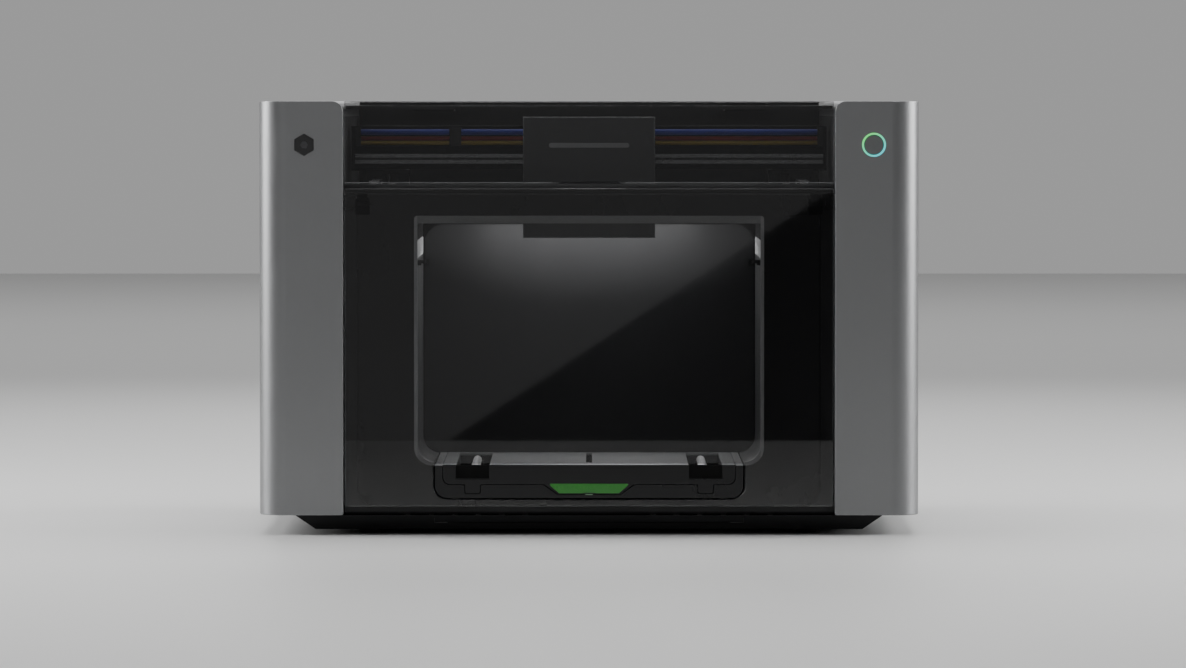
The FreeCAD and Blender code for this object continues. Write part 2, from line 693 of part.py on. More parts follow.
def power_inlet():
    """Mains inlet with the frame of its rocker switch above."""
    x0, x1 = 150 + gap, 178 - gap
    body = box(x0, x1, rear_y - 26, rear_y, 60 + gap, 110 - gap)
    body = body.fuse(box(x0 - 3, x1 + 3, rear_y, rear_y + 1.8, 57, 113))
    body = body.cut(box(x0 + 2, x1 - 2, rear_y - 16, rear_y + 3, 63, 82))
    body = body.cut(box(x0 + 3, x1 - 3, rear_y - 12, rear_y + 3, 88, 107))
    body = body.fuse(cyl(1.0, x1 - x0 - 4, (x0 + 2, rear_y - 3, 97.5), (1, 0, 0)))
    for dx, dz in ((0, 77), (-7, 69), (7, 69)):
        body = body.fuse(box(164 + dx - 1, 164 + dx + 1, rear_y - 17, rear_y - 3, dz - 2, dz + 2))
    return body.removeSplitter()


def rocker_switch():
    """Dished rocker on the pin across the inlet's upper well."""
    x0, x1 = 153.9, 174.1
    body = box(x0, x1, rear_y - 6, rear_y + 3.5, 89.0, 106.0)
    dish = cyl(26, 30, (150, rear_y + 28.3, 97.5), (1, 0, 0))
    return body.cut(dish).cut(cyl(1.0 + run, 40, (145, rear_y - 3, 97.5), (1, 0, 0)))


# ---------------------------------------------------------------- controls on the columns

def status_ring():
    ring = cyl(ring_r, 6, (ring_x, front_y, ring_z), (0, 1, 0))
    ring = ring.fuse(cyl(ring_r + 2.5, 1.5, (ring_x, front_y + wall, ring_z), (0, 1, 0)))
    return ring.cut(cyl(button_r + 0.4, 8, (ring_x, front_y - 1, ring_z), (0, 1, 0)))


def power_button():
    cap = cyl(button_r, 7, (ring_x, front_y + 0.2, ring_z), (0, 1, 0))
    return fillet(cap, 0.5, lambda e: on_face(e, 1, front_y + 0.2))


# ---------------------------------------------------------------- gantry deck and Y drive

def gantry_deck():
    """Deck over the chamber, open above the work, with the two raised channels that carry the Y rails."""
    deck = box(-inner_half + 0.5, inner_half - 0.5, frame_y + sheet, rear_y - sheet, deck_z, deck_z + sheet)
    deck = deck.cut(box(-chamber_half, chamber_half, frame_y + sheet - 1, pane_y, deck_z - 1,
                        deck_z + sheet + 1))
    deck = deck.cut(box(-window_half, window_half, frame_y, fascia_y + bezel_depth + gap, deck_z - 1,
                        deck_z + 9))
    for side in (-1, 1):
        x = side * y_rail_x
        deck = deck.fuse(box(x - 10, x + 10, frame_y + sheet + 8, rear_y - 46, deck_z, rail_base_top))
        deck = deck.cut(box(x - 8, x + 8, frame_y + sheet, rear_y - 40, deck_z - 1, rail_base_top - 3))
    return deck.removeSplitter()


def y_rails():
    x = y_rail_x
    rail = box(x - rail_width / 2, x + rail_width / 2, frame_y + sheet + 10, rear_y - 48, rail_base_top,
               rail_base_top + rail_height)
    for s in (-1, 1):
        rail = rail.cut(cyl(0.8, 600, (x + s * rail_width / 2, -300, rail_base_top + 3.6), (0, 1, 0)))
    for k in range(10):
        rail = rail.cut(cyl(2.4, 2.5, (x, frame_y + sheet + 25 + k * 34.0, rail_base_top + 4), (0, 0, 1)))
    return both(rail)


def belt_loop(start, end, normal, width_axis, r):
    """Closed flat belt round two pulleys, as wide as the vector width_axis."""
    s, e, n, w = V(*start), V(*end), V(*normal), V(*width_axis)
    d = (e - s).normalize()

    def loop(radius):
        a, b, c, f = s + n * radius, e + n * radius, e - n * radius, s - n * radius
        edges = [Part.LineSegment(a, b).toShape(), Part.Arc(b, e + d * radius, c).toShape(),
                 Part.LineSegment(c, f).toShape(), Part.Arc(f, s - d * radius, a).toShape()]
        return Part.Face(Part.Wire(edges)).extrude(w)
    return loop(r + belt_thickness).cut(loop(r))


def y_belts():
    x = belt_x - belt_width / 2
    loop = belt_loop((x, idler_y, belt_y_z), (x, shaft_y, belt_y_z), (0, 0, 1), (belt_width, 0, 0),
                     pulley_r + 0.1)
    return both(loop)


def pulley(x, y, z, axis, bore, flanged=True):
    """Belt pulley centred on the point: smooth crown with two flanges."""
    a, c = V(*axis), V(x, y, z)
    body = Part.makeCylinder(pulley_r, belt_width + 1, c - a * (belt_width / 2 + 0.5), a)
    if flanged:
        for s in (-1, 1):
            centre = c + a * (s * (belt_width / 2 + 0.9)) - a * 0.5
            body = body.fuse(Part.makeCylinder(pulley_r + 2.0, 1.0, centre, a))
    if bore:
        body = body.cut(Part.makeCylinder(bore, 30, c - a * 15, a))
    return body.removeSplitter()


def y_drive_shaft():
    shaft = cyl(4.0, 2 * belt_x + 24, (-belt_x - 12, shaft_y, belt_y_z), (1, 0, 0))
    for s in (-1, 1):
        shaft = shaft.fuse(pulley(s * belt_x, shaft_y, belt_y_z, (1, 0, 0), 0))
    return shaft.removeSplitter()


def y_motor():
    """Stepper in the middle of the drive shaft, which passes right through it."""
    half = belt_y_z - deck_z - sheet
    body = box(-24, 24, shaft_y - half, shaft_y + half, deck_z + sheet, belt_y_z + half)
    body = body.makeChamfer(3, [e for e in body.Edges if along(e, 0)])
    for x in (-17, 17):
        body = body.cut(box(x - 0.4, x + 0.4, shaft_y - 30, shaft_y - half + 0.6, 0, height))
    return body.cut(cyl(4.0 + run, 60, (-30, shaft_y, belt_y_z), (1, 0, 0)))


def belt_brackets():
    """Bearing blocks of the drive shaft and forks of the front idlers, with the idler pins."""
    found = []
    for s in (-1, 1):
        x = s * (belt_x + 9)
        block = box(x - 4, x + 4, shaft_y - 9, shaft_y + 9, deck_z + sheet, belt_y_z + 9)
        found.append(block.cut(cyl(4.0 + run, 20, (x - 10, shaft_y, belt_y_z), (1, 0, 0))))
        x = s * belt_x
        fork = box(x - 7.5, x + 7.5, idler_y - 8, idler_y + 6, deck_z + sheet, belt_y_z + 5)
        fork = fork.cut(box(x - 5.4, x + 5.4, idler_y - 12, idler_y + 10, deck_z + sheet + 5, belt_y_z + 6))
        fork = fork.fuse(cyl(2.0, 15, (x - 7.5, idler_y, belt_y_z), (1, 0, 0)))
        found.append(fork.removeSplitter())
    return Part.makeCompound(found)


def y_idlers():
    return both(pulley(belt_x, idler_y, belt_y_z, (1, 0, 0), 2.0 + run))


# ---------------------------------------------------------------- gantry

def x_beam():
    body = box(-beam_half, beam_half, beam_y, beam_back, beam_bottom, beam_top)
    body = body.cut(box(-beam_half - 1, beam_half + 1, beam_y + 2.5, beam_back - 2.5, beam_bottom + 2.5,
                        beam_top - 2.5))
    lip = box(-beam_half, beam_half, beam_y - 6.0, beam_y + 1, 351.4, 352.4)
    crown = box(-beam_half, beam_half, beam_y - 2.0, beam_y + 1, beam_top - 1.2, beam_top)
    return body.multiFuse([lip, crown]).removeSplitter()


def x_rail():
    z = x_rail_bottom + rail_width / 2
    rail = box(-beam_half, beam_half, beam_y - rail_height, beam_y, x_rail_bottom,
               x_rail_bottom + rail_width)
    for s in (-1, 1):
        rail = rail.cut(cyl(0.8, 500, (-250, beam_y - 3.6, z + s * rail_width / 2), (1, 0, 0)))
    rail = rail.cut(box(-300, 300, beam_y - rail_height - 1, beam_y - rail_height + 0.6, z - 1.2, z + 1.2))
    for k in range(21):
        rail = rail.cut(cyl(2.2, 2.5, (-190 + k * 19.0, beam_y - rail_height - 0.1, z), (0, 1, 0)))
    return rail


def gantry_ends():
    """Carriage saddles on the Y rails with the plates that hold the beam, and the belt clamps."""
    x = y_rail_x
    top = rail_base_top + rail_height
    middle = (beam_y + beam_back) / 2
    saddle = box(x - 10, x + 10, middle - 20, middle + 20, rail_base_top + 2, top + 5)
    saddle = saddle.cut(box(x - rail_width / 2 - 0.15, x + rail_width / 2 + 0.15, middle - 30, middle + 30,
                            rail_base_top - 1, top + 0.3))
    plate = box(x - 30, x + 12, middle - 20, middle + 20, top + 5, top + 9)
    cheek = box(beam_half, beam_half + 3.5, beam_y, beam_back, beam_bottom, beam_top)
    foot = box(x - 26, x + 12, beam_y, beam_back, top + 8, beam_bottom)
    arm = box(x + 8, beam_half + 3.5, beam_y, beam_back, top + 8, beam_bottom)
    run_z = belt_y_z + pulley_r + 0.1
    clamp = box(belt_x - 5, belt_x + 5, middle - 8, middle + 8, run_z + belt_thickness + 0.3, top + 6)
    return both(join(saddle, plate, foot, arm, cheek, clamp))


def x_motor():
    body = box(-x_pulley_x - 17, -x_pulley_x + 17, x_belt_y - 7, x_belt_y + 27, x_belt_z - 27, x_belt_z - 8)
    body = fillet(body, 3, lambda e: along(e, 2))
    plate = box(-x_pulley_x - 18, -x_pulley_x + 18, beam_back, x_belt_y + 27, x_belt_z - 8, x_belt_z - 5)
    spindle = cyl(2.5, 15, (-x_pulley_x, x_belt_y, x_belt_z - 9), (0, 0, 1))
    far_plate = box(x_pulley_x - 9, x_pulley_x + 9, beam_back, x_belt_y + 9, x_belt_z - 8, x_belt_z - 5)
    far_pin = cyl(2.0, 14, (x_pulley_x, x_belt_y, x_belt_z - 8), (0, 0, 1))
    return Part.makeCompound([join(body, plate, spindle), join(far_plate, far_pin)])


def x_belt():
    z = x_belt_z - belt_width / 2
    return belt_loop((-x_pulley_x, x_belt_y, z), (x_pulley_x, x_belt_y, z), (0, 1, 0), (0, 0, belt_width),
                     pulley_r + 0.1)


def x_drive_pulley():
    return pulley(-x_pulley_x, x_belt_y, x_belt_z, (0, 0, 1), 2.5 + run)


def x_idler_pulley():
    return pulley(x_pulley_x, x_belt_y, x_belt_z, (0, 0, 1), 2.0 + run)


def cable(z, r):
    return cyl(r, 2 * beam_half - 2, (-beam_half + 1, beam_y - 3.2, z), (1, 0, 0))


def cable_clips():
    found = []
    end = beam_half - end_clip_half - 0.5
    for x, half in ((-end, end_clip_half), (-124.0, clip_half), (end, end_clip_half)):
        clip = box(x - half, x + half, beam_y - 7.2, beam_y, 352.5, beam_top - 1.4)
        found.append(clip.cut(box(x - half - 1, x + half + 1, beam_y - 6.2, beam_y + 1, 353.0, 368.3)))
    return Part.makeCompound(found)


# ---------------------------------------------------------------- laser head

def head_shell():
    """Five-sided cover: open at the back onto the plate and open underneath for the nozzle."""
    h = head_width / 2
    body = box(-h, h, head_y, plate_y, head_bottom, head_top)
    body = fillet(body, 1.2, lambda e: on_face(e, 1, head_y))
    body = body.cut(box(-h + head_wall, h - head_wall, head_y + head_wall, plate_y + 1,
                        head_bottom + head_wall,
                        head_top - head_wall))
    body = body.cut(cyl(17, 8, (0, head_y + head_depth / 2, head_bottom - 2), (0, 0, 1)))
    for k in range(9):
        x = -36 + k * 9.0
        body = body.cut(box(x - 2, x + 2, head_y + 14, plate_y - 10, head_top - 4, head_top + 1))
    for side in (-1, 1):
        x = side * (h - 2)
        for k in range(4):
            y = head_y + 18 + k * 7
            body = body.cut(box(x - 4, x + 4, y - 1.5, y + 1.5, 290, 322))
    return body.fuse(cyl(2.0, 7.5, (0, head_y + 1, head_bottom + 60), (0, 1, 0)))


def head_plate():
    """Back plate with the rail carriage behind it and the arm that reaches over the beam to the belt."""
    h = head_width / 2
    plate = box(-h + head_wall, h - head_wall, plate_y - 3.5, plate_y - 0.2, head_bottom + 6, head_top - 3)
    z = x_rail_bottom + rail_width / 2
    block = box(-14, 14, plate_y - 1, beam_y - 2.2, z - 10, z + 10)
    block = block.cut(box(-30, 30, beam_y - rail_height - 0.3, beam_y + 1, z - rail_width / 2 - 0.15,
                          z + rail_width / 2 + 0.15))
    block = block.cut(box(-30, 30, beam_y - 7.5, beam_y + 1, 351.1, 360))
    arm = box(-12, 12, plate_y - 1, x_belt_y - 1.0, beam_top + 1.2, beam_top + 3.2)
    run_y = x_belt_y - pulley_r - 0.1 - belt_thickness
    drop = box(-12, 12, run_y - 2.2, run_y - 0.4, x_belt_z - 4, beam_top + 2)
    lip = box(-12, 12, run_y + belt_thickness + 0.4, run_y + belt_thickness + 2.2, x_belt_z - 4,
              beam_top + 2)
    return join(plate, block, arm, drop, lip)


def laser_module():
    """Focusing assembly: finned diode block, lens barrel and nozzle, which slides down to focus."""
    x, y = 0.0, head_y + head_depth / 2
    block = box(-20, 20, y - 12, y + 20, head_bottom + 34, head_bottom + 84)
    for k in range(7):
        for s in (-1, 1):
            fx = s * (17.5)
            z = head_bottom + 38 + k * 6.4
            block = block.cut(box(min(fx, s * 24), max(fx, s * 24), y - 20, y + 20, z, z + 2.6))
    barrel = cyl(14, 26, (x, y, head_bottom + 10), (0, 0, 1))
    cone = Part.makeCone(6.5, 14, 9.5, V(x, y, head_bottom + 1.0), V(0, 0, 1))
    body = block.multiFuse([barrel, cone])
    return body.cut(cyl(2.5, 40, (x, y, head_bottom), (0, 0, 1))).removeSplitter()


def head_fan():
    y = head_y + 6.0
    wheel = cyl(7.5, 5, (0, y, head_bottom + 60), (0, 1, 0))
    parts = []
    for k in range(7):
        blade = box(-0.6, 0.6, 0.3, 4.7, 6.8, 17.0)
        blade.rotate(V(0, 2.5, 0), V(0, 0, 1), 30)
        blade.translate(V(0, y, head_bottom + 60))
        blade.rotate(V(0, 0, head_bottom + 60), V(0, 1, 0), 360.0 / 7 * k)
        parts.append(blade)
    return wheel.multiFuse(parts).cut(cyl(2.0 + run, 3.5, (0, y - 0.1, head_bottom + 60), (0, 1, 0)))


NODES = {
    "base_pan": base_pan, "base_deck": base_deck, "rubber_feet": rubber_feet, "casing_screws": casing_screws,
    "left_housing": left_housing, "right_housing": right_housing, "side_frames": side_frame,
    "rear_panel": rear_panel, "front_frame": front_frame, "front_fascia": front_fascia,
    "window_bezel": window_bezel, "chamber_walls": chamber_walls, "chamber_lamps": chamber_lamps,
    "rear_pane": rear_pane, "rear_wall": rear_wall, "gantry_deck": gantry_deck, "y_rails": y_rails,
    "y_belts": y_belts, "y_motor": y_motor, "belt_brackets": belt_brackets, "fan_frame": fan_frame,
    "exhaust_collar": exhaust_collar, "power_supply": power_supply, "control_board": control_board,
    "power_inlet": power_inlet, "status_ring": status_ring, "hinge_blocks": hinge_blocks,
    "lid_hinge_rail": lid_hinge_rail, "lid_glass": lid_glass, "lid_frame": lid_frame,
    "lid_leaves": lid_leaves,
    "door_glass": door_glass, "door_brackets": door_brackets, "tray_pan": tray_pan,
    "insert_front": insert_front, "pull_tab": pull_tab, "work_plate": work_plate, "guide_rods": guide_rods,
    "x_beam": x_beam, "x_rail": x_rail, "gantry_ends": gantry_ends, "x_motor": x_motor, "x_belt": x_belt,
    "cable_clips": cable_clips, "x_drive_pulley": x_drive_pulley, "x_idler_pulley": x_idler_pulley,
    "y_drive_shaft": y_drive_shaft, "y_idlers": y_idlers, "head_shell": head_shell, "head_plate": head_plate,
    "laser_module": laser_module, "head_fan": head_fan, "exhaust_impeller": exhaust_impeller,
    "power_button": power_button, "rocker_switch": rocker_switch,
}


def main():
    os.makedirs("parts", exist_ok=True)
    for name, make in NODES.items():
        write(name, make())
    for colour, z, r in cables:
        write("cable_" + colour, cable(z, r))
    print(len(NODES) + len(cables), "nodes")


main()
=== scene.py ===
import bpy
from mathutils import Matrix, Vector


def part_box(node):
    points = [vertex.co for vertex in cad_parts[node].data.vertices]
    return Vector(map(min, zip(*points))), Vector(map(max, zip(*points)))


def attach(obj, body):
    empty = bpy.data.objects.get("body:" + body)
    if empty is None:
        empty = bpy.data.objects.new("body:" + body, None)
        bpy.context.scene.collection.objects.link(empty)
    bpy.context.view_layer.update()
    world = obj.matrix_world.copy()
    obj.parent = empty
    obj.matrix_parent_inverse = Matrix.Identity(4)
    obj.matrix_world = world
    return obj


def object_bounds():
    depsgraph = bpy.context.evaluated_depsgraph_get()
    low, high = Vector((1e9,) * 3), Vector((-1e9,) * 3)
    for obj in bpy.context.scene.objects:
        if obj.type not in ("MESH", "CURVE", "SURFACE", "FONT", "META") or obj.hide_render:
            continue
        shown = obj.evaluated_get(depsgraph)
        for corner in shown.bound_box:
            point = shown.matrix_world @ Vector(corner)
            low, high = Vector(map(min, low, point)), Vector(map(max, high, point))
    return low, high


bl_info = {
    "name": "Desktop laser cutter",
    "version": (1, 0, 0),
    "blender": (4, 5, 0),
    "location": "View3D > Sidebar > Laser Cutter",
    "description": "Finishes the laser cutter's parts and lights them",
    "category": "Object",
}

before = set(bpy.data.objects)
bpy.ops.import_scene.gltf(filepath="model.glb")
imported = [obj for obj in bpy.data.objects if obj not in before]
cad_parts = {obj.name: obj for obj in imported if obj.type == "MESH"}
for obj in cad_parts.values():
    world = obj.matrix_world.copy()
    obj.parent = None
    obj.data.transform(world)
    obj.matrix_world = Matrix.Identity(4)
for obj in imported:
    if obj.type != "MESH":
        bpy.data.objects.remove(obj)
import math
import bmesh
import bpy
from bpy.props import FloatProperty, FloatVectorProperty, PointerProperty
from mathutils import Euler, Vector

CAD_BOX = [list(corner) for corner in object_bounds()]
MM = 0.001
COORD, NOISE, MATH, MIX = "ShaderNodeTexCoord", "ShaderNodeTexNoise", "ShaderNodeMath", "ShaderNodeMix"
VECTOR, BUMP, GEOMETRY = "ShaderNodeVectorMath", "ShaderNodeBump", "ShaderNodeNewGeometry"
SEPARATE = "ShaderNodeSeparateXYZ"
SIDES = (("left", -1), ("right", 1))


# ---------------------------------------------------------------- shader maths

class Wire:
    """A node's output that Python's operators act on, adding a Math node each time."""

    def __init__(self, paint, socket):
        self.paint = paint
        self.socket = socket

    def math(self, operation, *values, clamp=False):
        inputs = dict(enumerate(values))
        return self.paint.node(MATH, {"operation": operation, "use_clamp": clamp}, inputs)

    def __add__(self, other):
        return self.math("ADD", self, other)

    __radd__ = __add__

    def __mul__(self, other):
        return self.math("MULTIPLY", self, other)

    __rmul__ = __mul__

    def __sub__(self, other):
        return self.math("SUBTRACT", self, other)

    def __rsub__(self, other):
        return self.math("SUBTRACT", other, self)

    def __truediv__(self, other):
        return self.math("DIVIDE", self, other)

    def __rtruediv__(self, other):
        return self.math("DIVIDE", other, self)

    def __pow__(self, other):
        return self.math("POWER", self, other)

    def __abs__(self):
        return self.math("ABSOLUTE", self)

    def least(self, other):
        return self.math("MINIMUM", self, other)

    def most(self, other):
        return self.math("MAXIMUM", self, other)

    def sine(self):
        return self.math("SINE", self)

    def rise(self, low, high):
        """0 below low, 1 above high and a straight ramp between. low above high turns it round."""
        return self.math("MULTIPLY", self - low, 1.0 / (high - low), clamp=True)

    def wave(self, period):
        """A sine of that period, from 0 to 1."""
        return (self * (2 * math.pi / period)).sine() * 0.5 + 0.5


class Nodes:
    """A node tree, and the one method that adds to it."""

    def __init__(self, tree):
        self.tree = tree

    def node(self, kind, settings=None, inputs=None, out=0):
        """Adds a node: its settings first, then the value or the Wire of each input, by name or index."""
        made = self.tree.nodes.new(kind)
        for key, value in (settings or {}).items():
            setattr(made, key, value)
        for key, value in (inputs or {}).items():
            self.feed(made.inputs[key], value)
        return Wire(self, made.outputs[out])

    def feed(self, socket, value):
        if isinstance(value, Wire):
            self.tree.links.new(value.socket, socket)
        else:
            socket.default_value = value

    def blend(self, factor, first, second):
        return self.node(MIX, {"data_type": "RGBA"}, {0: factor, 6: first, 7: second}, out=2)


class Paint(Nodes):
    """One procedural material: a Principled shader and the nodes that feed it."""

    def __init__(self, name, colour, roughness, metallic=0.0, **constants):
        self.material = bpy.data.materials.new(name)
        self.material.use_nodes = True
        super().__init__(self.material.node_tree)
        self.shader = self.tree.nodes["Principled BSDF"]
        self.colour = (*colour, 1.0)
        self.material.diffuse_color = self.colour
        self.set("Base Color", self.colour)
        self.set("Roughness", roughness)
        self.set("Metallic", metallic)
        for socket, value in constants.items():
            self.set(socket.replace("_", " "), value)

    def set(self, socket, value):
        self.feed(self.shader.inputs[socket], value)

    # -- where a point is
    def place(self, stretch=(1, 1, 1)):
        spot = self.node(COORD, out="Object")
        return self.node(VECTOR, {"operation": "MULTIPLY"}, {0: spot, 1: stretch})

    def axis(self, index):
        return self.node(SEPARATE, None, {0: self.place()}, out=index)

    def turn_round(self, middle_y, middle_z):
        """Angle round a line along X through that point."""
        y, z = self.axis(1) - middle_y, self.axis(2) - middle_z
        return z.math("ARCTAN2", z, y)

    def up(self):
        """1 on faces that look up, 0 on walls and undersides."""
        normal = self.node(GEOMETRY, out="Normal")
        return self.node(SEPARATE, None, {0: normal}, out=2).rise(0.6, 0.95)

    def noise(self, scale, detail=3.0, stretch=(1, 1, 1), harsh=0.5):
        return self.node(NOISE, None, {"Vector": self.place(stretch), "Scale": scale, "Detail": detail,
                                       "Roughness": harsh})

    def edge(self, node, width):
        """1 at the straight edges of that node's box, fading to 0 at width from them."""
        low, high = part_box(node)
        gaps = []
        for k in range(3):
            along = self.axis(k)
            gaps.append((along - low[k]).least(high[k] - along))
        a, b, c = gaps
        second = a.least(b).most(a.most(b).least(c))
        return second.rise(width, 0.0)

    # -- what changes over the surface
    def shade(self, factor, colour):
        """Lays another colour over Base Color where factor is above 0."""
        socket = self.shader.inputs["Base Color"]
        under = Wire(self, socket.links[0].from_socket) if socket.is_linked else tuple(socket.default_value)
        self.set("Base Color", self.blend(factor, under, (*colour, 1.0)))

    def rough(self, amount):
        """Adds amount, a Wire about 0, to Roughness."""
        socket = self.shader.inputs["Roughness"]
        under = Wire(self, socket.links[0].from_socket) if socket.is_linked else socket.default_value
        self.set("Roughness", (amount + under).most(0.02))

    def relief(self, height, depth, strength=1.0):
        """Adds a bump of that depth in metres on top of any there is."""
        socket = self.shader.inputs["Normal"]
        inputs = {"Height": height, "Distance": depth, "Strength": strength}
        if socket.is_linked:
            inputs["Normal"] = Wire(self, socket.links[0].from_socket)
        self.set("Normal", self.node(BUMP, None, inputs))

    def on(self, *nodes):
        for name in nodes:
            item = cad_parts[name]
            for index in range(len(item.material_slots)):
                item.material_slots[index].material = self.material


def lighter(colour, times):
    return tuple(min(1.0, c * times) for c in colour)


def aged(paint, colour, tint=0.12, smudge=0.08, dust=0.25, cloud=9.0):
    """Slow changes of shade, handling marks and settled dust, which every used surface has."""
    clouds = paint.noise(cloud, 4.0)
    paint.shade(clouds.rise(0.35, 0.75) * tint * 4, lighter(colour, 0.72))
    paint.rough((clouds - 0.5) * smudge * 2)
    smears = paint.noise(28.0, 5.0, (1.0, 1.0, 0.35), 0.65)
    paint.rough(smears.rise(0.52, 0.72) * smudge)
    if dust:
        motes = paint.noise(900.0, 2.0).rise(0.58, 0.7) * paint.noise(35.0, 3.0).rise(0.4, 0.7)
        veil = paint.up() * (motes * 0.8 + 0.2) * dust
        paint.shade(veil, (0.32, 0.31, 0.3))
        paint.rough(veil * 0.4)
    return paint


def worn(paint, node, width, colour):
    """Paint rubbed thin along the straight edges of that node."""
    chips = paint.noise(420.0, 4.0, harsh=0.7).rise(0.5, 0.62)
    paint.shade(paint.edge(node, width) * chips * 0.6, colour)
    return paint


def moulded(name, colour, roughness=0.5, depth=0.00006, grain=1700.0, **constants):
    """Fine spark-eroded texture of a moulded part."""
    paint = Paint(name, colour, roughness, **constants)
    paint.relief(paint.noise(grain, 3.0), depth)
    return aged(paint, colour)


def coated(name, colour, roughness=0.45, peel=0.00005, **constants):
    """Sprayed or powder coat: orange peel with a finer sparkle over it."""
    paint = Paint(name, colour, roughness, **constants)
    paint.relief(paint.noise(650.0, 2.0), peel)
    paint.relief(paint.noise(2600.0, 2.0), peel * 0.3)
    return aged(paint, colour)


def brushed(name, colour, roughness=0.3, stretch=(1, 60, 60), depth=0.00002, **constants):
    """Metal with the fine parallel lines of its finishing along one axis."""
    paint = Paint(name, colour, roughness, 1.0, **constants)
    lines = paint.noise(38.0, 4.0, stretch, 0.7)
    paint.relief(lines, depth)
    paint.rough((lines - 0.5) * 0.22)
    paint.shade(lines.rise(0.45, 0.8) * 0.35, lighter(colour, 0.7))
    return aged(paint, colour, tint=0.06)


def polished(name, colour, roughness=0.12):
    """Ground and polished steel with faint rings and fingerprints."""
    paint = Paint(name, colour, roughness, 1.0)
    rings = paint.noise(55.0, 3.0, (18, 18, 18))
    paint.relief(rings, 0.000006)
    paint.rough(rings.rise(0.5, 0.8) * 0.12)
    return aged(paint, colour, tint=0.05, smudge=0.1, dust=0.15)


# ---------------------------------------------------------------- mesh helpers

def mesh_piece(name, build, paint, body, bevel=0.0, segments=2):
    """A mesh made by build(bm), with its material and body. bevel rounds its edges."""
    mesh = bpy.data.meshes.new(name)
    bm = bmesh.new()
    build(bm)
    bmesh.ops.recalc_face_normals(bm, faces=bm.faces)
    bm.to_mesh(mesh)
    bm.free()
    piece = bpy.data.objects.new(name, mesh)
    bpy.context.scene.collection.objects.link(piece)
    mesh.materials.append(paint.material)
    if bevel:
        round_off = piece.modifiers.new("Rounded edges", "BEVEL")
        round_off.width = bevel
        round_off.segments = segments
        round_off.limit_method = "ANGLE"
    if body:
        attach(piece, body)
    return piece


def slab(bm, corners, y0, y1):
    """Adds a closed prism: (x, z) corners at y0, carried to y1."""
    front = [bm.verts.new((x, y0, z)) for x, z in corners]
    back = [bm.verts.new((x, y1, z)) for x, z in corners]
    bm.faces.new(front)
    bm.faces.new(list(reversed(back)))
    for k in range(len(front)):
        j = (k + 1) % len(front)
        bm.faces.new((front[k], back[k], back[j], front[j]))


def rounded(x0, x1, z0, z1, radius, steps=6):
    """(x, z) corners of a rectangle with rounded corners."""
    found = []
    for cx, cz, start in ((x1, z1, 0), (x0, z1, 90), (x0, z0, 180), (x1, z0, 270)):
        cx += radius if cx == x0 else -radius
        cz += radius if cz == z0 else -radius
        for k in range(steps + 1):
            a = math.radians(start + 90.0 * k / steps)
            found.append((cx + radius * math.cos(a), cz + radius * math.sin(a)))
    return found


def polygon(x, z, radius, sides, turn=0.0):
    return [(x + radius * math.cos(turn + 2 * math.pi * k / sides),
             z + radius * math.sin(turn + 2 * math.pi * k / sides)) for k in range(sides)]


def bead(name, points, radius, paint, body, closed=True):
    """A round bead, such as a seal, along the points."""
    curve = bpy.data.curves.new(name, "CURVE")
    curve.dimensions = "3D"
    curve.bevel_depth = radius
    curve.bevel_resolution = 3
    spline = curve.splines.new("POLY")
    spline.points.add(len(points) - 1)
    for k, point in enumerate(points):
        spline.points[k].co = (*point, 1.0)
    spline.use_cyclic_u = closed
    piece = bpy.data.objects.new(name, curve)
    bpy.context.scene.collection.objects.link(piece)
    curve.materials.append(paint.material)
    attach(piece, body)


# ---------------------------------------------------------------- settings

def colour_prop(name, description, default):
    return FloatVectorProperty(name=name, description=description, default=default, subtype="COLOR",
                               min=0.0, max=1.0)


def length_prop(name, description, default):
    return FloatProperty(name=name, description=description, default=default, min=0.0, subtype="DISTANCE",
                         unit="LENGTH")


class CutterColours(bpy.types.PropertyGroup):
    """Colours that an owner would choose."""
    housing: colour_prop("Housing", "Metallic paint of the side housings", (0.25, 0.253, 0.258))
    gloss: colour_prop("Gloss black", "Fascia, insert and pane", (0.0055, 0.0056, 0.0062))
    matt: colour_prop("Matt black", "Base, sheet metal and small mouldings", (0.012, 0.0122, 0.013))
    head: colour_prop("Head", "Satin paint of the laser head", (0.075, 0.076, 0.079))
    tray: colour_prop("Work plate", "Anodised work plate and window frame", (0.42, 0.425, 0.43))
    pull: colour_prop("Pull", "Pull of the work plate insert", (0.018, 0.27, 0.014))
    ring_top: colour_prop("Ring, top", "Light of the ring at its top left", (0.1, 0.78, 0.13))
    ring_foot: colour_prop("Ring, foot", "Light of the ring at its lower right", (0.04, 0.6, 0.68))


class CutterSizes(bpy.types.PropertyGroup):
    """Sizes of the trim pieces."""
    seal: length_prop("Window seal", "Thickness of the seal round the window", 0.9 * MM)
    strip_width: length_prop("Head strip width", "Length of the plain inlaid strip on the head", 74 * MM)
    strip_height: length_prop("Head strip height", "Height of that strip", 4.4 * MM)
    emblem: length_prop("Emblem", "Radius of the plain six-sided inlay", 10.0 * MM)
    # The band is painted light grey: a painted highlight on the lid's lower edge.
    lid_edge: length_prop("Lid edge", "Depth of the polished band on the lid's lower edge", 1.0 * MM)
    wear: length_prop("Edge wear", "How far wear reaches from an edge", 1.3 * MM)


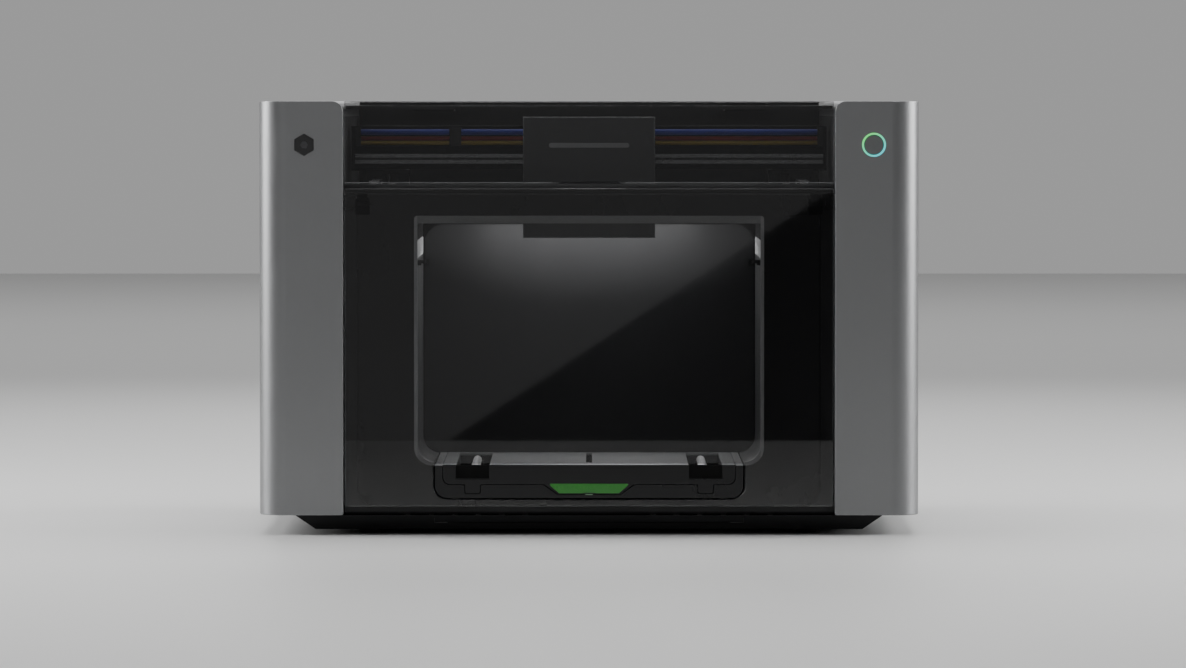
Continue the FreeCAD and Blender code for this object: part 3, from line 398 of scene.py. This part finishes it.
class CutterStage(bpy.types.PropertyGroup):
    """Camera, lights and floor."""
    distance: length_prop("Camera distance", "From the front of the housings", 6.0)
    lens: FloatProperty(name="Lens", description="Focal length", default=200.9, subtype="DISTANCE_CAMERA")
    eye: length_prop("Eye height", "Camera height above the floor", 392.4 * MM)
    side_light: FloatProperty(name="Side lights", description="Power of each side softbox", default=52.0,
                              unit="POWER")
    top_light: FloatProperty(name="Top light", description="Power of the overhead softbox", default=30.0,
                             unit="POWER")
    front_light: FloatProperty(name="Front card", description="Power of the slanted card in front",
                               default=32.0, unit="POWER")
    chamber_light: FloatProperty(name="Chamber lamp", description="Power of the lamp over the work",
                                 default=0.7, unit="POWER")
    floor: colour_prop("Floor", "Pale floor", (0.78, 0.78, 0.775))


def chosen(name):
    """The colour that the settings hold under that name."""
    return tuple(getattr(bpy.context.scene.cutter_colours, name))


def sizes():
    return bpy.context.scene.cutter_sizes


# ---------------------------------------------------------------- body

class CUTTER_OT_housings(bpy.types.Operator):
    """Paints the two side housings and lays in the emblem"""
    bl_idname = "cutter.housings"
    bl_label = "Side housings"

    def execute(self, context):
        base = chosen("housing")
        for node in ("left_housing", "right_housing"):
            paint = Paint("Satin silver " + node.split("_")[0], base, 0.38, 0.9, Coat_Weight=0.18,
                          Coat_Roughness=0.22)
            flake = paint.noise(4200.0, 1.0)
            paint.relief(paint.noise(700.0, 2.0), 0.00002)
            paint.relief(flake, 0.000012)
            paint.shade(flake.rise(0.5, 0.8) * 0.3, lighter(base, 1.4))
            aged(paint, base, tint=0.05, smudge=0.07, dust=0.12, cloud=5.0)
            worn(paint, node, sizes().wear, lighter(base, 1.7))
            paint.on(node)
        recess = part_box("left_housing")[0].y
        centre = (-258.3 * MM, 354.4 * MM)
        black = (0.004, 0.004, 0.0045)
        face = Paint("Emblem inlay", black, 0.16, 0.0, Coat_Weight=0.6)
        face.relief(face.noise(900.0), 0.00001)
        aged(face, black, dust=0)

        def hexagon(bm):
            radius = sizes().emblem
            outer = polygon(*centre, radius, 6, math.pi / 6)
            slab(bm, outer, recess + 0.35 * MM, recess + 1.15 * MM)
        mesh_piece("emblem_inlay", hexagon, face, "body", 0.3 * MM)

        def boss(bm):
            slab(bm, polygon(*centre, sizes().emblem * 0.36, 6, 0.0), recess + 0.15 * MM, recess + 0.4 * MM)
        rim = brushed("Emblem centre", (0.1, 0.1, 0.105), 0.3, (60, 60, 1))
        mesh_piece("emblem_centre", boss, rim, "body", 0.1 * MM)
        return {"FINISHED"}


class CUTTER_OT_base(bpy.types.Operator):
    """Base pan, feet and the hatch marks on the base's front"""
    bl_idname = "cutter.base"
    bl_label = "Base and feet"

    def execute(self, context):
        matt = chosen("matt")
        moulded("Base moulding", matt, 0.6, 0.00007, 1500.0, Specular_IOR_Level=0.25).on("base_pan")
        black = (0.012, 0.012, 0.012)
        rubber = Paint("Foot rubber", black, 0.72)
        rubber.relief(rubber.noise(1400.0, 4.0), 0.00009)
        rubber.relief(rubber.axis(2).wave(1.1 * MM), 0.00006)
        aged(rubber, black, dust=0.1)
        rubber.on("rubber_feet")
        low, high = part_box("base_pan")
        mark = brushed("Hatch mark", (0.13, 0.13, 0.135), 0.4)
        lean, sunk = 14 * MM, 0.1 * MM
        for hand, side in SIDES:
            points = []
            for x, z in ((140.5, 15.4), (140.5, 10.9), (128.7, 10.9)):
                slant = (high.z - z * MM) / (high.z - low.z)
                points.append((side * x * MM, low.y + slant * lean + sunk, z * MM))
            bead("hatch_mark_" + hand, points, 0.35 * MM, mark, "body", closed=False)
        return {"FINISHED"}


class CUTTER_OT_sheet_metal(bpy.types.Operator):
    """Powder coated and plated sheet inside and at the rear"""
    bl_idname = "cutter.sheet_metal"
    bl_label = "Sheet metal"

    def execute(self, context):
        matt = chosen("matt")
        coated("Black powder coat", matt, 0.5, 0.000025).on(
            "side_frames", "gantry_deck", "lid_hinge_rail", "lid_frame")
        dull = coated("Rear wall coat", (0.003, 0.003, 0.0032), 0.6, 0.00002, Specular_IOR_Level=0.15)
        dull.on("rear_wall")
        front = coated("Front frame coat", matt, 0.45, 0.00002)
        # The strip above the door's top edge is painted grey: a painted highlight for the light falling on it
        # from above, through the gap under the lid.
        front.shade(front.axis(2).rise(314.6 * MM, 315.0 * MM), (0.08, 0.081, 0.083))
        front.on("front_frame")
        rear = coated("Rear powder coat", lighter(matt, 1.5), 0.46, 0.00004)
        worn(rear, "rear_panel", sizes().wear, (0.2, 0.2, 0.21)).on("rear_panel")
        zinc = brushed("Zinc plate", (0.45, 0.45, 0.46), 0.35, (50, 1, 50))
        # The deck's front edge, in the gap behind the fascia, is painted black and not metallic: painted
        # shade between the parts.
        deck_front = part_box("base_deck")[0].y
        front_edge_shade = zinc.axis(1).rise(deck_front + 3 * MM, deck_front + 2 * MM)
        zinc.shade(front_edge_shade, (0.004, 0.004, 0.004))
        zinc.set("Metallic", 1.0 - front_edge_shade)
        zinc.rough(front_edge_shade * 0.3)
        zinc.on("base_deck")
        brushed("Supply cover", (0.4, 0.4, 0.41), 0.4, (50, 1, 50)).on("power_supply")
        screw = brushed("Screw steel", (0.16, 0.16, 0.17), 0.32, (30, 30, 30), 0.00003)
        screw.on("casing_screws")
        low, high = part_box("rear_panel")
        sleeve = moulded("Rear corner trim", matt, 0.6)
        foot, top = low.z + 2 * MM, 388 * MM
        for hand, side in SIDES:
            def trim(bm):
                inner, outer = side * (high.x - 1.6 * MM), side * (high.x + 2.2 * MM)
                slab(bm, ((inner, foot), (outer, foot), (outer, top), (inner, top)), high.y,
                     high.y + 1.1 * MM)
            mesh_piece("rear_trim_" + hand, trim, sleeve, "body", 0.3 * MM)
        plate = brushed("Blank rating plate", (0.5, 0.5, 0.51), 0.33, (1, 50, 50))

        def blank(bm):
            slab(bm, rounded(-176 * MM, -112 * MM, 66 * MM, 104 * MM, 3 * MM), high.y, high.y + 0.6 * MM)
        mesh_piece("rating_plate", blank, plate, "body", 0.15 * MM)

        def rivets(bm):
            for x in (-172, -116):
                for z in (70, 100):
                    slab(bm, polygon(x * MM, z * MM, 1.5 * MM, 14), high.y + 0.5 * MM, high.y + 1.3 * MM)
        mesh_piece("rating_plate_rivets", rivets, plate, "body", 0.4 * MM)
        return {"FINISHED"}


# ---------------------------------------------------------------- front and glass

class CUTTER_OT_front(bpy.types.Operator):
    """Gloss fascia, the grey window frame and the seal between them"""
    bl_idname = "cutter.front"
    bl_label = "Front and window"

    def execute(self, context):
        gloss, grey = chosen("gloss"), chosen("tray")
        fascia = Paint("Gloss fascia", gloss, 0.28, 0.0, Specular_IOR_Level=0.3)
        fascia.relief(fascia.noise(90.0, 2.0), 0.00004)
        fascia.relief(fascia.noise(1500.0, 2.0), 0.000008)
        aged(fascia, gloss, tint=0.1, smudge=0.06, dust=0.3)
        fascia.on("front_fascia", "hinge_blocks")
        frame_paint = moulded("Window frame grey", lighter(grey, 0.8), 0.36, 0.00004, 1800.0, Metallic=0.25)
        low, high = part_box("window_bezel")
        # A band near the frame's outer left and right edges is painted lighter: a painted highlight on the
        # frame's edge.
        rim = abs(frame_paint.axis(0)).rise(high.x - 3.2 * MM, high.x - 2.8 * MM)
        frame_paint.shade(rim * 0.6, lighter(grey, 1.35))
        worn(frame_paint, "window_bezel", sizes().wear, lighter(grey, 0.9)).on("window_bezel")
        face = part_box("front_fascia")[0].y
        out, corner, insert_half = 0.5 * MM, 16 * MM, 142 * MM
        left = []
        for k in range(8):
            a = math.radians(90 - 9 * k)
            x = low.x - out + corner - corner * math.cos(a)
            if x < -insert_half:
                left.append((x, face, low.z - out + corner - corner * math.sin(a)))
        left.append((low.x - out, face, high.z + out))
        right = [(-x, y, z) for x, y, z in reversed(left)]
        rubber = moulded("Seal rubber", (0.006, 0.006, 0.006), 0.6)
        bead("window_seal", left + right, sizes().seal / 2, rubber, "body", closed=False)
        return {"FINISHED"}


def glass(name, tint, alpha, nodes, highlight_width):
    """Tinted acrylic with fingerprints, settled dust and a painted highlight along its edges."""
    paint = Paint(name, tint, 0.012, 0.0, Alpha=alpha, Specular_IOR_Level=0.7, Coat_Weight=0.6,
                  Coat_Roughness=0.01)
    prints = paint.noise(55.0, 5.0, (1, 1, 0.6), 0.7).rise(0.6, 0.78) * paint.noise(7.0).rise(0.5, 0.65)
    paint.rough(prints * 0.06)
    motes = paint.noise(1300.0, 2.0).rise(0.66, 0.74) * paint.noise(30.0, 3.0).rise(0.5, 0.7) * paint.up()
    paint.shade(motes * 0.6, (0.3, 0.3, 0.3))
    # The pane's edges are painted lighter and more opaque: a painted highlight along them.
    edges = paint.edge(nodes[0], highlight_width)
    paint.set("Alpha", edges * 0.35 + motes * 0.1 + alpha)
    paint.shade(edges * 0.8, (0.2, 0.203, 0.21))
    paint.relief(paint.noise(14.0, 1.0), 0.00001)
    paint.on(*nodes)


class CUTTER_OT_glazing(bpy.types.Operator):
    """Tinted door, smoked lid with a painted highlight band on its lower edge, and the dark pane behind the
    work with a painted glow
    """
    bl_idname = "cutter.glazing"
    bl_label = "Glazing"

    def execute(self, context):
        glass("Tinted door", (0.004, 0.004, 0.0045), 0.36, ["door_glass"], 1.2 * MM)
        glass("Smoked lid", (0.005, 0.005, 0.006), 0.27, ["lid_glass"], 1.4 * MM)
        pane = Paint("Dark pane", (0.004, 0.0042, 0.0048), 0.42, 0.0, Specular_IOR_Level=0.3,
                     Emission_Strength=1.0)
        smoke = pane.noise(16.0, 5.0, (1, 1, 0.5), 0.6)
        pane.rough(smoke.rise(0.4, 0.8) * 0.08)
        pane.shade(smoke.rise(0.5, 0.9) * 0.15, (0.02, 0.019, 0.018))
        pane.relief(pane.noise(60.0, 2.0), 0.000006)
        # The pool of light that the head lamp throws on the pane is painted on as emission: a painted glow,
        # brightest at the top middle and fading across and down.
        glow_half_width, glow_depth = 200 * MM, 80 * MM
        across = pane.axis(0) / glow_half_width
        down = (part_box("rear_pane")[1].z - pane.axis(2)) / glow_depth
        painted_glow = (across * across + down * down).rise(1.0, 0.0) ** 2.0
        painted_glow = painted_glow * (smoke * 0.2 + 0.9)
        pane.set("Emission Color", pane.blend(painted_glow, (0.002, 0.002, 0.0021, 1), (0.135, 0.136, 0.14, 1)))
        pane.on("rear_pane")
        low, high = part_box("lid_glass")
        # The lid's lower edge gets a light grey band, broken at the middle: a painted highlight for the light
        # its polished edge catches.
        notch, top = 33 * MM, low.z + sizes().lid_edge
        edge_highlight_grey = (0.3, 0.305, 0.31)
        acrylic = Paint("Polished acrylic edge", edge_highlight_grey, 0.18, 0.0, Coat_Weight=0.5)
        acrylic.relief(acrylic.noise(60.0, 3.0, (1, 40, 40)), 0.00002)
        aged(acrylic, edge_highlight_grey, dust=0)

        def band(bm):
            for x0, x1 in ((low.x + 0.5 * MM, -notch), (notch, high.x - 0.5 * MM)):
                slab(bm, rounded(x0, x1, low.z, top, 0.2 * MM, 2), low.y + 0.1 * MM, low.y + 3.9 * MM)
        mesh_piece("lid_edge", band, acrylic, "lid")
        return {"FINISHED"}


# ---------------------------------------------------------------- chamber and tray

class CUTTER_OT_chamber(bpy.types.Operator):
    """Chamber walls and their strip lamps"""
    bl_idname = "cutter.chamber"
    bl_label = "Chamber"

    def execute(self, context):
        wall = brushed("Chamber wall", (0.2, 0.2, 0.205), 0.42, (50, 1, 50))
        soot = wall.noise(24.0, 5.0).rise(0.45, 0.8) * wall.axis(2).rise(0.2, 0.07)
        wall.shade(soot * 0.6, (0.03, 0.026, 0.022))
        wall.on("chamber_walls")
        lamp = Paint("Lamp diffuser", (0.6, 0.61, 0.62), 0.5, 0.0, Emission_Strength=0.3)
        cells = lamp.axis(1).wave(16 * MM)
        glow = lamp.blend(cells.rise(0.0, 1.0), (0.42, 0.44, 0.47, 1), (1.0, 0.99, 0.96, 1))
        lamp.set("Emission Color", glow)
        lamp.relief(lamp.noise(1200.0), 0.00004)
        lamp.on("chamber_lamps")
        low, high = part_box("chamber_walls")
        shade = coated("Lamp shield coat", chosen("matt"), 0.55)
        gap = 0.2 * MM
        foot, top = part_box("chamber_lamps")[1].z + gap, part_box("gantry_deck")[0].z - gap
        for hand, side in SIDES:
            def shield(bm):
                inner, outer = side * (high.x - 1.8 * MM), side * (high.x - gap)
                slab(bm, ((inner, foot), (outer, foot), (outer, top), (inner, top)), low.y + 0.3 * MM, 3 * MM)
            mesh_piece("lamp_shield_" + hand, shield, shade, "body", 0.2 * MM)
        catch = moulded("Catch moulding", chosen("matt"), 0.45)
        for hand, side in SIDES:
            def hook(bm):
                inside, tip = side * (high.x - 2.0 * MM), side * (high.x - 9.5 * MM)
                stem = inside - side * 3.2 * MM
                lower, upper = high.z - 5.5 * MM, high.z - 0.8 * MM
                underside = lower + 1.6 * MM
                steps = ((inside, lower), (inside, upper), (tip, upper), (tip, underside),
                         (stem, underside), (stem, lower))
                slab(bm, steps, low.y + 6 * MM, low.y + 14 * MM)
            mesh_piece("chamber_catch_" + hand, hook, catch, "body", 0.3 * MM)
        return {"FINISHED"}


class CUTTER_OT_tray(bpy.types.Operator):
    """Sliding tray, its insert, the work plate and the green pull"""
    bl_idname = "cutter.tray"
    bl_label = "Tray and work plate"

    def execute(self, context):
        gloss, grey = chosen("gloss"), chosen("tray")
        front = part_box("tray_pan")[0].y
        pan = Paint("Tray moulding", lighter(gloss, 1.2), 0.22, 0.0, Specular_IOR_Level=0.3, Coat_Weight=0.1)
        pan.relief(pan.noise(1500.0, 2.0), 0.00001)
        aged(pan, lighter(gloss, 1.2), dust=0.2)
        # The pan's upward faces at its top are painted light grey and partly metallic, while its other faces
        # stay gloss black: a painted highlight for the light falling on the top from above.
        top = pan.up() * pan.axis(2).rise(62.5 * MM, 63.1 * MM)
        pan.shade(top, lighter(grey, 0.8))
        pan.set("Metallic", top * 0.6)
        pan.rough(top * 0.15)
        pan.on("tray_pan")
        insert = Paint("Insert moulding", gloss, 0.2, 0.0, Specular_IOR_Level=0.3, Coat_Weight=0.1)
        insert.relief(insert.noise(1500.0, 2.0), 0.00001)
        aged(insert, gloss, dust=0.2)
        low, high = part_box("guide_rods")
        rod_x = high.x - (high.z - low.z) / 2
        # Rough near-black patches on the insert's front round each rod channel: painted shade for the dark
        # openings into the channels.
        aside = abs(abs(insert.axis(0)) - rod_x - 1.4 * MM)
        mouth_shade = aside.rise(15.1 * MM, 14.9 * MM) * insert.axis(2).rise(51.5 * MM, 51.7 * MM)
        insert.shade(mouth_shade, (0.0008, 0.0008, 0.0008))
        insert.rough(mouth_shade * 0.75)
        insert.on("insert_front")
        plate = brushed("Work plate", grey, 0.34, (1, 40, 40), 0.00002)
        plate.set("Metallic", 0.75)
        burns = plate.noise(38.0, 5.0, harsh=0.6).rise(0.6, 0.75) * plate.up()
        plate.shade(burns * 0.3, (0.16, 0.13, 0.1))
        # Faces below the plate's top, down in its channels, are painted near black: painted shade in the
        # recesses.
        plate.shade(plate.axis(2).rise(62.8 * MM, 60.6 * MM) * 0.97, lighter(gloss, 1.5))
        worn(plate, "work_plate", sizes().wear, lighter(grey, 1.5))
        plate.on("work_plate")
        rod = polished("Polished rod", (0.86, 0.86, 0.87), 0.3)
        rod.set("Metallic", 0.45)
        rod.on("guide_rods")
        green = chosen("pull")
        pull = Paint("Green pull", green, 0.3, 0.0, Coat_Weight=0.3, Subsurface_Weight=0.1)
        pull.relief(pull.noise(1700.0), 0.00002)
        ribs = pull.axis(0).wave(3.2 * MM) * (abs(pull.axis(2) - 43.5 * MM)).rise(1.9 * MM, 1.4 * MM)
        pull.relief(ribs, 0.00025)
        aged(pull, green, tint=0.06, dust=0.15)
        pull.on("pull_tab")
        # A small glowing spot under the pull: a painted highlight, made to glow, for the glint in the finger
        # recess.
        spot = Paint("Pull lamp", (0.1, 0.2, 0.1), 0.4, 0.0, Emission_Strength=0.1)
        spot.set("Emission Color", spot.blend(spot.noise(700.0), (0.35, 0.8, 0.4, 1), (0.8, 1, 0.8, 1)))

        def lamp(bm):
            slab(bm, rounded(-3.4 * MM, 3.4 * MM, 36.6 * MM, 37.3 * MM, 0.3 * MM, 3), front - 0.3 * MM,
                 front + 2 * MM)
        mesh_piece("pull_lamp", lamp, spot, "insert")
        return {"FINISHED"}


# ---------------------------------------------------------------- gantry

class CUTTER_OT_gantry(bpy.types.Operator):
    """Beam, rails, carriages, motors, belts and pulleys"""
    bl_idname = "cutter.gantry"
    bl_label = "Gantry and drives"

    def execute(self, context):
        brushed("Anodised beam", (0.02, 0.0202, 0.0215), 0.36, (1, 40, 40)).on("x_beam")
        rail = brushed("Ground rail", (0.3, 0.305, 0.31), 0.26, (1, 60, 60))
        low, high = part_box("x_rail")
        # The rail is painted dark along the middle of its height: painted shade between its two lighter
        # bands.
        middle = abs(rail.axis(2) - (low.z + high.z) / 2)
        rail.shade(middle.rise(1.3 * MM, 0.9 * MM) * 0.9, (0.02, 0.02, 0.021))
        rail.on("x_rail")
        brushed("Ground Y rail", (0.5, 0.5, 0.51), 0.24, (60, 1, 60)).on("y_rails")
        brushed("Black anodised bracket", (0.035, 0.035, 0.037), 0.4, (30, 30, 1)).on(
            "gantry_ends", "belt_brackets", "head_plate", "lid_leaves")
        brushed("Black hinge bracket", (0.008, 0.008, 0.0085), 0.5, (30, 30, 1)).on("door_brackets")
        brushed("Turned pulley", (0.5, 0.5, 0.51), 0.28, (40, 40, 40)).on(
            "x_drive_pulley", "x_idler_pulley", "y_idlers")
        polished("Drive shaft", (0.62, 0.62, 0.64), 0.16).on("y_drive_shaft")
        motor = coated("Motor laminations", (0.015, 0.015, 0.016), 0.38)
        motor.relief(motor.axis(2).wave(1.0 * MM), 0.00006)
        motor.on("x_motor", "y_motor")
        black = (0.012, 0.012, 0.012)
        for node, axis in (("x_belt", 0), ("y_belts", 1)):
            belt = Paint("Toothed " + node.replace("_", " "), black, 0.62)
            belt.relief(belt.axis(axis).wave(2.0 * MM), 0.0005)
            belt.relief(belt.noise(1800.0), 0.00005)
            aged(belt, black, dust=0.1)
            belt.on(node)
        return {"FINISHED"}


class CUTTER_OT_cables(bpy.types.Operator):
    """Braided blue, red and yellow cables with their clips"""
    bl_idname = "cutter.cables"
    bl_label = "Cables"

    def execute(self, context):
        strands, pitch = 6, 3.4 * MM
        for node, colour in (("cable_blue", (0.018, 0.04, 0.42)), ("cable_red", (0.36, 0.015, 0.015)),
                             ("cable_yellow", (0.5, 0.36, 0.03))):
            low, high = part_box(node)
            sheath = Paint("Braid " + node.split("_")[1], colour, 0.5, 0.0, Sheen_Weight=0.3)
            turn = sheath.turn_round((low.y + high.y) / 2, (low.z + high.z) / 2) * strands
            along = sheath.axis(0) * (2 * math.pi / pitch)
            weave = (turn + along).sine().most((turn - along).sine())
            sheath.relief(weave, 0.00016)
            # The dips of the weave are painted darker: painted shade in the braid's crevices.
            sheath.shade(weave.rise(0.7, -0.2) * 0.6, lighter(colour, 0.4))
            sheath.rough((weave - 0.5) * 0.1)
            aged(sheath, colour, tint=0.04, dust=0.1)
            sheath.on(node)
        moulded("Clip moulding", chosen("matt"), 0.4).on("cable_clips")
        return {"FINISHED"}


class CUTTER_OT_head(bpy.types.Operator):
    """Laser head: its cover with a plain inlaid strip, the lens drive, the fan and the lamp underneath"""
    bl_idname = "cutter.head"
    bl_label = "Laser head"

    def execute(self, context):
        base = chosen("head")
        cover = Paint("Head satin", base, 0.4, 0.25, Coat_Weight=0.25, Coat_Roughness=0.3)
        cover.relief(cover.noise(1100.0, 2.0), 0.00003)
        aged(cover, base, tint=0.08, smudge=0.06, dust=0.25)
        worn(cover, "head_shell", sizes().wear, lighter(base, 4.0)).on("head_shell")
        brushed("Lens drive", (0.05, 0.05, 0.053), 0.36, (40, 40, 1)).on("laser_module")
        moulded("Fan moulding", chosen("matt"), 0.4).on("head_fan")
        low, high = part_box("head_shell")
        half, tall = sizes().strip_width / 2, sizes().strip_height / 2
        centre = 353.5 * MM
        strip = brushed("Inlaid strip", (0.34, 0.345, 0.35), 0.3, (1, 50, 50))

        def inlay(bm):
            slab(bm, rounded(-half, half, centre - tall, centre + tall, tall * 0.98),
                 low.y - 0.25 * MM, low.y + 0.5 * MM)
        mesh_piece("head_strip", inlay, strip, "head", 0.12 * MM)
        lamp = Paint("Head lamp", (0.8, 0.8, 0.8), 0.4, 0.0, Emission_Strength=16.0)
        lamp.set("Emission Color", lamp.blend(lamp.axis(0).wave(9 * MM), (0.8, 0.85, 0.9, 1), (1, 1, 1, 1)))

        def lens(bm):
            slab(bm, rounded(-44 * MM, 44 * MM, low.z - 0.35 * MM, low.z + 0.3 * MM, 0.3 * MM, 3),
                 high.y - 9 * MM, high.y - 3 * MM)
        mesh_piece("head_lamp", lens, lamp, "head")
        return {"FINISHED"}


# ---------------------------------------------------------------- controls, air and power

class CUTTER_OT_controls(bpy.types.Operator):
    """Power button with its lit ring"""
    bl_idname = "cutter.controls"
    bl_label = "Button and ring"

    def execute(self, context):
        top, foot = (*chosen("ring_top"), 1), (*chosen("ring_foot"), 1)
        low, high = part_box("status_ring")
        middle_x, middle_z = (low.x + high.x) / 2, (low.z + high.z) / 2
        ring = Paint("Lit ring", (0.05, 0.3, 0.22), 0.4, 0.0, Emission_Strength=1.25)
        slant = (ring.axis(2) - middle_z) * 0.8 - (ring.axis(0) - middle_x) * 0.6
        ring.set("Emission Color", ring.blend(slant.rise(-9 * MM, 9 * MM), foot, top))
        ring.relief(ring.noise(1500.0), 0.00003)
        ring.on("status_ring")
        base = lighter(chosen("housing"), 0.85)
        cap = Paint("Button cap", base, 0.33, 0.85, Coat_Weight=0.2)
        dx, dz = cap.axis(0) - middle_x, cap.axis(2) - middle_z
        turned = ((dx * dx + dz * dz) ** 0.5).wave(0.35 * MM)
        cap.relief(turned, 0.000012)
        cap.relief(cap.noise(2000.0), 0.00001)
        aged(cap, base, tint=0.05, smudge=0.14, dust=0)
        cap.on("power_button")
        return {"FINISHED"}


class CUTTER_OT_services(bpy.types.Operator):
    """Exhaust collar and fan, mains inlet, switch and control board"""
    bl_idname = "cutter.services"
    bl_label = "Air and power"

    def execute(self, context):
        matt = chosen("matt")
        plastic = moulded("Black nylon", lighter(matt, 1.3), 0.42, 0.00008, 1300.0)
        worn(plastic, "exhaust_collar", sizes().wear, (0.06, 0.06, 0.062))
        plastic.on("exhaust_collar", "fan_frame", "exhaust_impeller", "power_inlet")
        moulded("Rocker gloss", (0.01, 0.01, 0.011), 0.2, 0.00003).on("rocker_switch")
        mask = (0.012, 0.09, 0.035)
        board = Paint("Solder mask", mask, 0.3, 0.0, Coat_Weight=0.4)
        tracks = (board.axis(1).wave(5 * MM).rise(0.8, 0.9)).most(board.axis(2).wave(7 * MM).rise(0.84, 0.92))
        board.shade(tracks * board.noise(60.0).rise(0.4, 0.6), (0.02, 0.16, 0.06))
        board.relief(tracks, 0.00005)
        board.shade(board.axis(0).rise(235.1 * MM, 235.8 * MM), (0.012, 0.012, 0.013))
        aged(board, mask, dust=0.1)
        board.on("control_board")
        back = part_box("power_inlet")[1].y
        tip = polished("Inlet blade", (0.75, 0.62, 0.35), 0.2)

        def blades(bm):
            for x, z in ((164, 77), (157, 69), (171, 69)):
                slab(bm, rounded((x - 1.2) * MM, (x + 1.2) * MM, (z - 2.2) * MM, (z + 2.2) * MM, 0.4 * MM, 2),
                     back - 14 * MM, back - 3.5 * MM)
        mesh_piece("inlet_blades", blades, tip, "body", 0.2 * MM)
        return {"FINISHED"}


# ---------------------------------------------------------------- stage

def softbox(name, size, power, place, aim, roll=0.0):
    """A rectangular light at place that faces aim, turned by roll about its own middle."""
    light = bpy.data.lights.new(name, "AREA")
    light.shape = "RECTANGLE"
    light.size, light.size_y = size
    light.energy = power
    item = bpy.data.objects.new(name, light)
    item.location = place
    turn = (Vector(aim) - Vector(place)).to_track_quat("-Z", "Y").to_matrix().to_4x4()
    item.rotation_euler = (turn @ Euler((0, 0, roll)).to_matrix().to_4x4()).to_euler()
    bpy.context.scene.collection.objects.link(item)


class CUTTER_OT_stage(bpy.types.Operator):
    """Pale floor, soft lights and the camera"""
    bl_idname = "cutter.stage"
    bl_label = "Stage"

    def execute(self, context):
        want = context.scene.cutter_stage
        floor = Paint("Pale floor", tuple(want.floor), 0.42)
        floor.relief(floor.noise(180.0, 3.0), 0.0002)
        clouds = floor.noise(0.8, 2.0)
        floor.shade(clouds.rise(0.3, 0.8) * 0.12, lighter(tuple(want.floor), 0.85))
        floor.rough((clouds - 0.5) * 0.1)

        half, near, far = 8, -1.9, 9

        def sheet(bm):
            corners = ((-half, near, 0), (half, near, 0), (half, far, 0), (-half, far, 0))
            bm.faces.new([bm.verts.new(corner) for corner in corners])
        mesh_piece("floor", sheet, floor, None)
        softbox("Top softbox", (2.6, 2.0), want.top_light, (0, 0.2, 2.6), (0, 0, 0.2))
        for side in (-1, 1):
            softbox("Side softbox", (1.2, 1.5), want.side_light, (side * 2.1, 0.1, 0.95), (0, -0.1, 0.2))
        softbox("Rear softbox", (2.4, 1.0), want.top_light * 0.6, (0, 2.4, 1.6), (0, 0, 0.25))
        softbox("Floor wash", (7.0, 4.0), want.top_light * 1.9, (0, 5.2, 2.6), (0, 5.6, 0))
        # The card's edge crosses the door as one slanted reflection.
        card_x, card_z, card_roll = -1.53, 2.25, math.radians(33.1)
        softbox("Front card", (5.6, 5.6), want.front_light, (card_x, -7.4, card_z), (card_x, 0, card_z),
                card_roll)
        pane, lamp_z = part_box("rear_pane")[0].y, 281.5 * MM
        softbox("Chamber lamp", (0.2, 0.06), want.chamber_light, (0, pane - 55 * MM, lamp_z),
                (0, pane - 30 * MM, 0.0))
        world = bpy.context.scene.world or bpy.data.worlds.new("Studio")
        bpy.context.scene.world = world
        world.use_nodes = True
        sky = Nodes(world.node_tree)
        rearward = sky.node(SEPARATE, None, {0: sky.node(COORD, out="Generated")}, out=1)
        upward = sky.node(SEPARATE, None, {0: sky.node(COORD, out="Generated")}, out=2)
        backdrop = sky.blend(rearward * 0.5 + 0.5, (0.05, 0.05, 0.051, 1), (0.36, 0.36, 0.36, 1))
        studio = sky.blend(upward.rise(-0.09, -0.16), backdrop, (0.5, 0.5, 0.5, 1))
        sky.feed(world.node_tree.nodes["Background"].inputs["Color"], studio)
        front, tilt_down = CAD_BOX[0][1], 2.0
        camera = bpy.data.cameras.new("Camera")
        camera.lens = want.lens
        camera.sensor_width = 36.0
        camera.clip_end = 60.0
        eye = bpy.data.objects.new("Camera", camera)
        eye.location = (3.6 * MM, front - want.distance, want.eye)
        eye.rotation_euler = (math.radians(90.0 - tilt_down), 0, 0)
        bpy.context.scene.collection.objects.link(eye)
        bpy.context.scene.camera = eye
        return {"FINISHED"}


# ---------------------------------------------------------------- add-on

STEPS = (CUTTER_OT_housings, CUTTER_OT_base, CUTTER_OT_sheet_metal, CUTTER_OT_front, CUTTER_OT_glazing,
         CUTTER_OT_chamber, CUTTER_OT_tray, CUTTER_OT_gantry, CUTTER_OT_cables, CUTTER_OT_head,
         CUTTER_OT_controls, CUTTER_OT_services, CUTTER_OT_stage)


class CUTTER_PT_panel(bpy.types.Panel):
    """Every step, and the settings they read"""
    bl_idname = "CUTTER_PT_panel"
    bl_label = "Desktop laser cutter"
    bl_space_type = "VIEW_3D"
    bl_region_type = "UI"
    bl_category = "Laser Cutter"

    def draw(self, context):
        for step in STEPS:
            self.layout.operator(step.bl_idname)
        for group in ("cutter_colours", "cutter_sizes", "cutter_stage"):
            settings = getattr(context.scene, group)
            box = self.layout.box()
            for name in settings.__annotations__:
                box.prop(settings, name)


CLASSES = (CutterColours, CutterSizes, CutterStage, *STEPS, CUTTER_PT_panel)


def register():
    for item in CLASSES:
        bpy.utils.register_class(item)
    bpy.types.Scene.cutter_colours = PointerProperty(type=CutterColours)
    bpy.types.Scene.cutter_sizes = PointerProperty(type=CutterSizes)
    bpy.types.Scene.cutter_stage = PointerProperty(type=CutterStage)


def unregister():
    del bpy.types.Scene.cutter_stage
    del bpy.types.Scene.cutter_sizes
    del bpy.types.Scene.cutter_colours
    for item in reversed(CLASSES):
        bpy.utils.unregister_class(item)


def main():
    register()
    for step in STEPS:
        getattr(bpy.ops.cutter, step.bl_idname.split(".")[1])()
    bpy.context.view_layer.update()


if __name__ == "__main__":
    main()
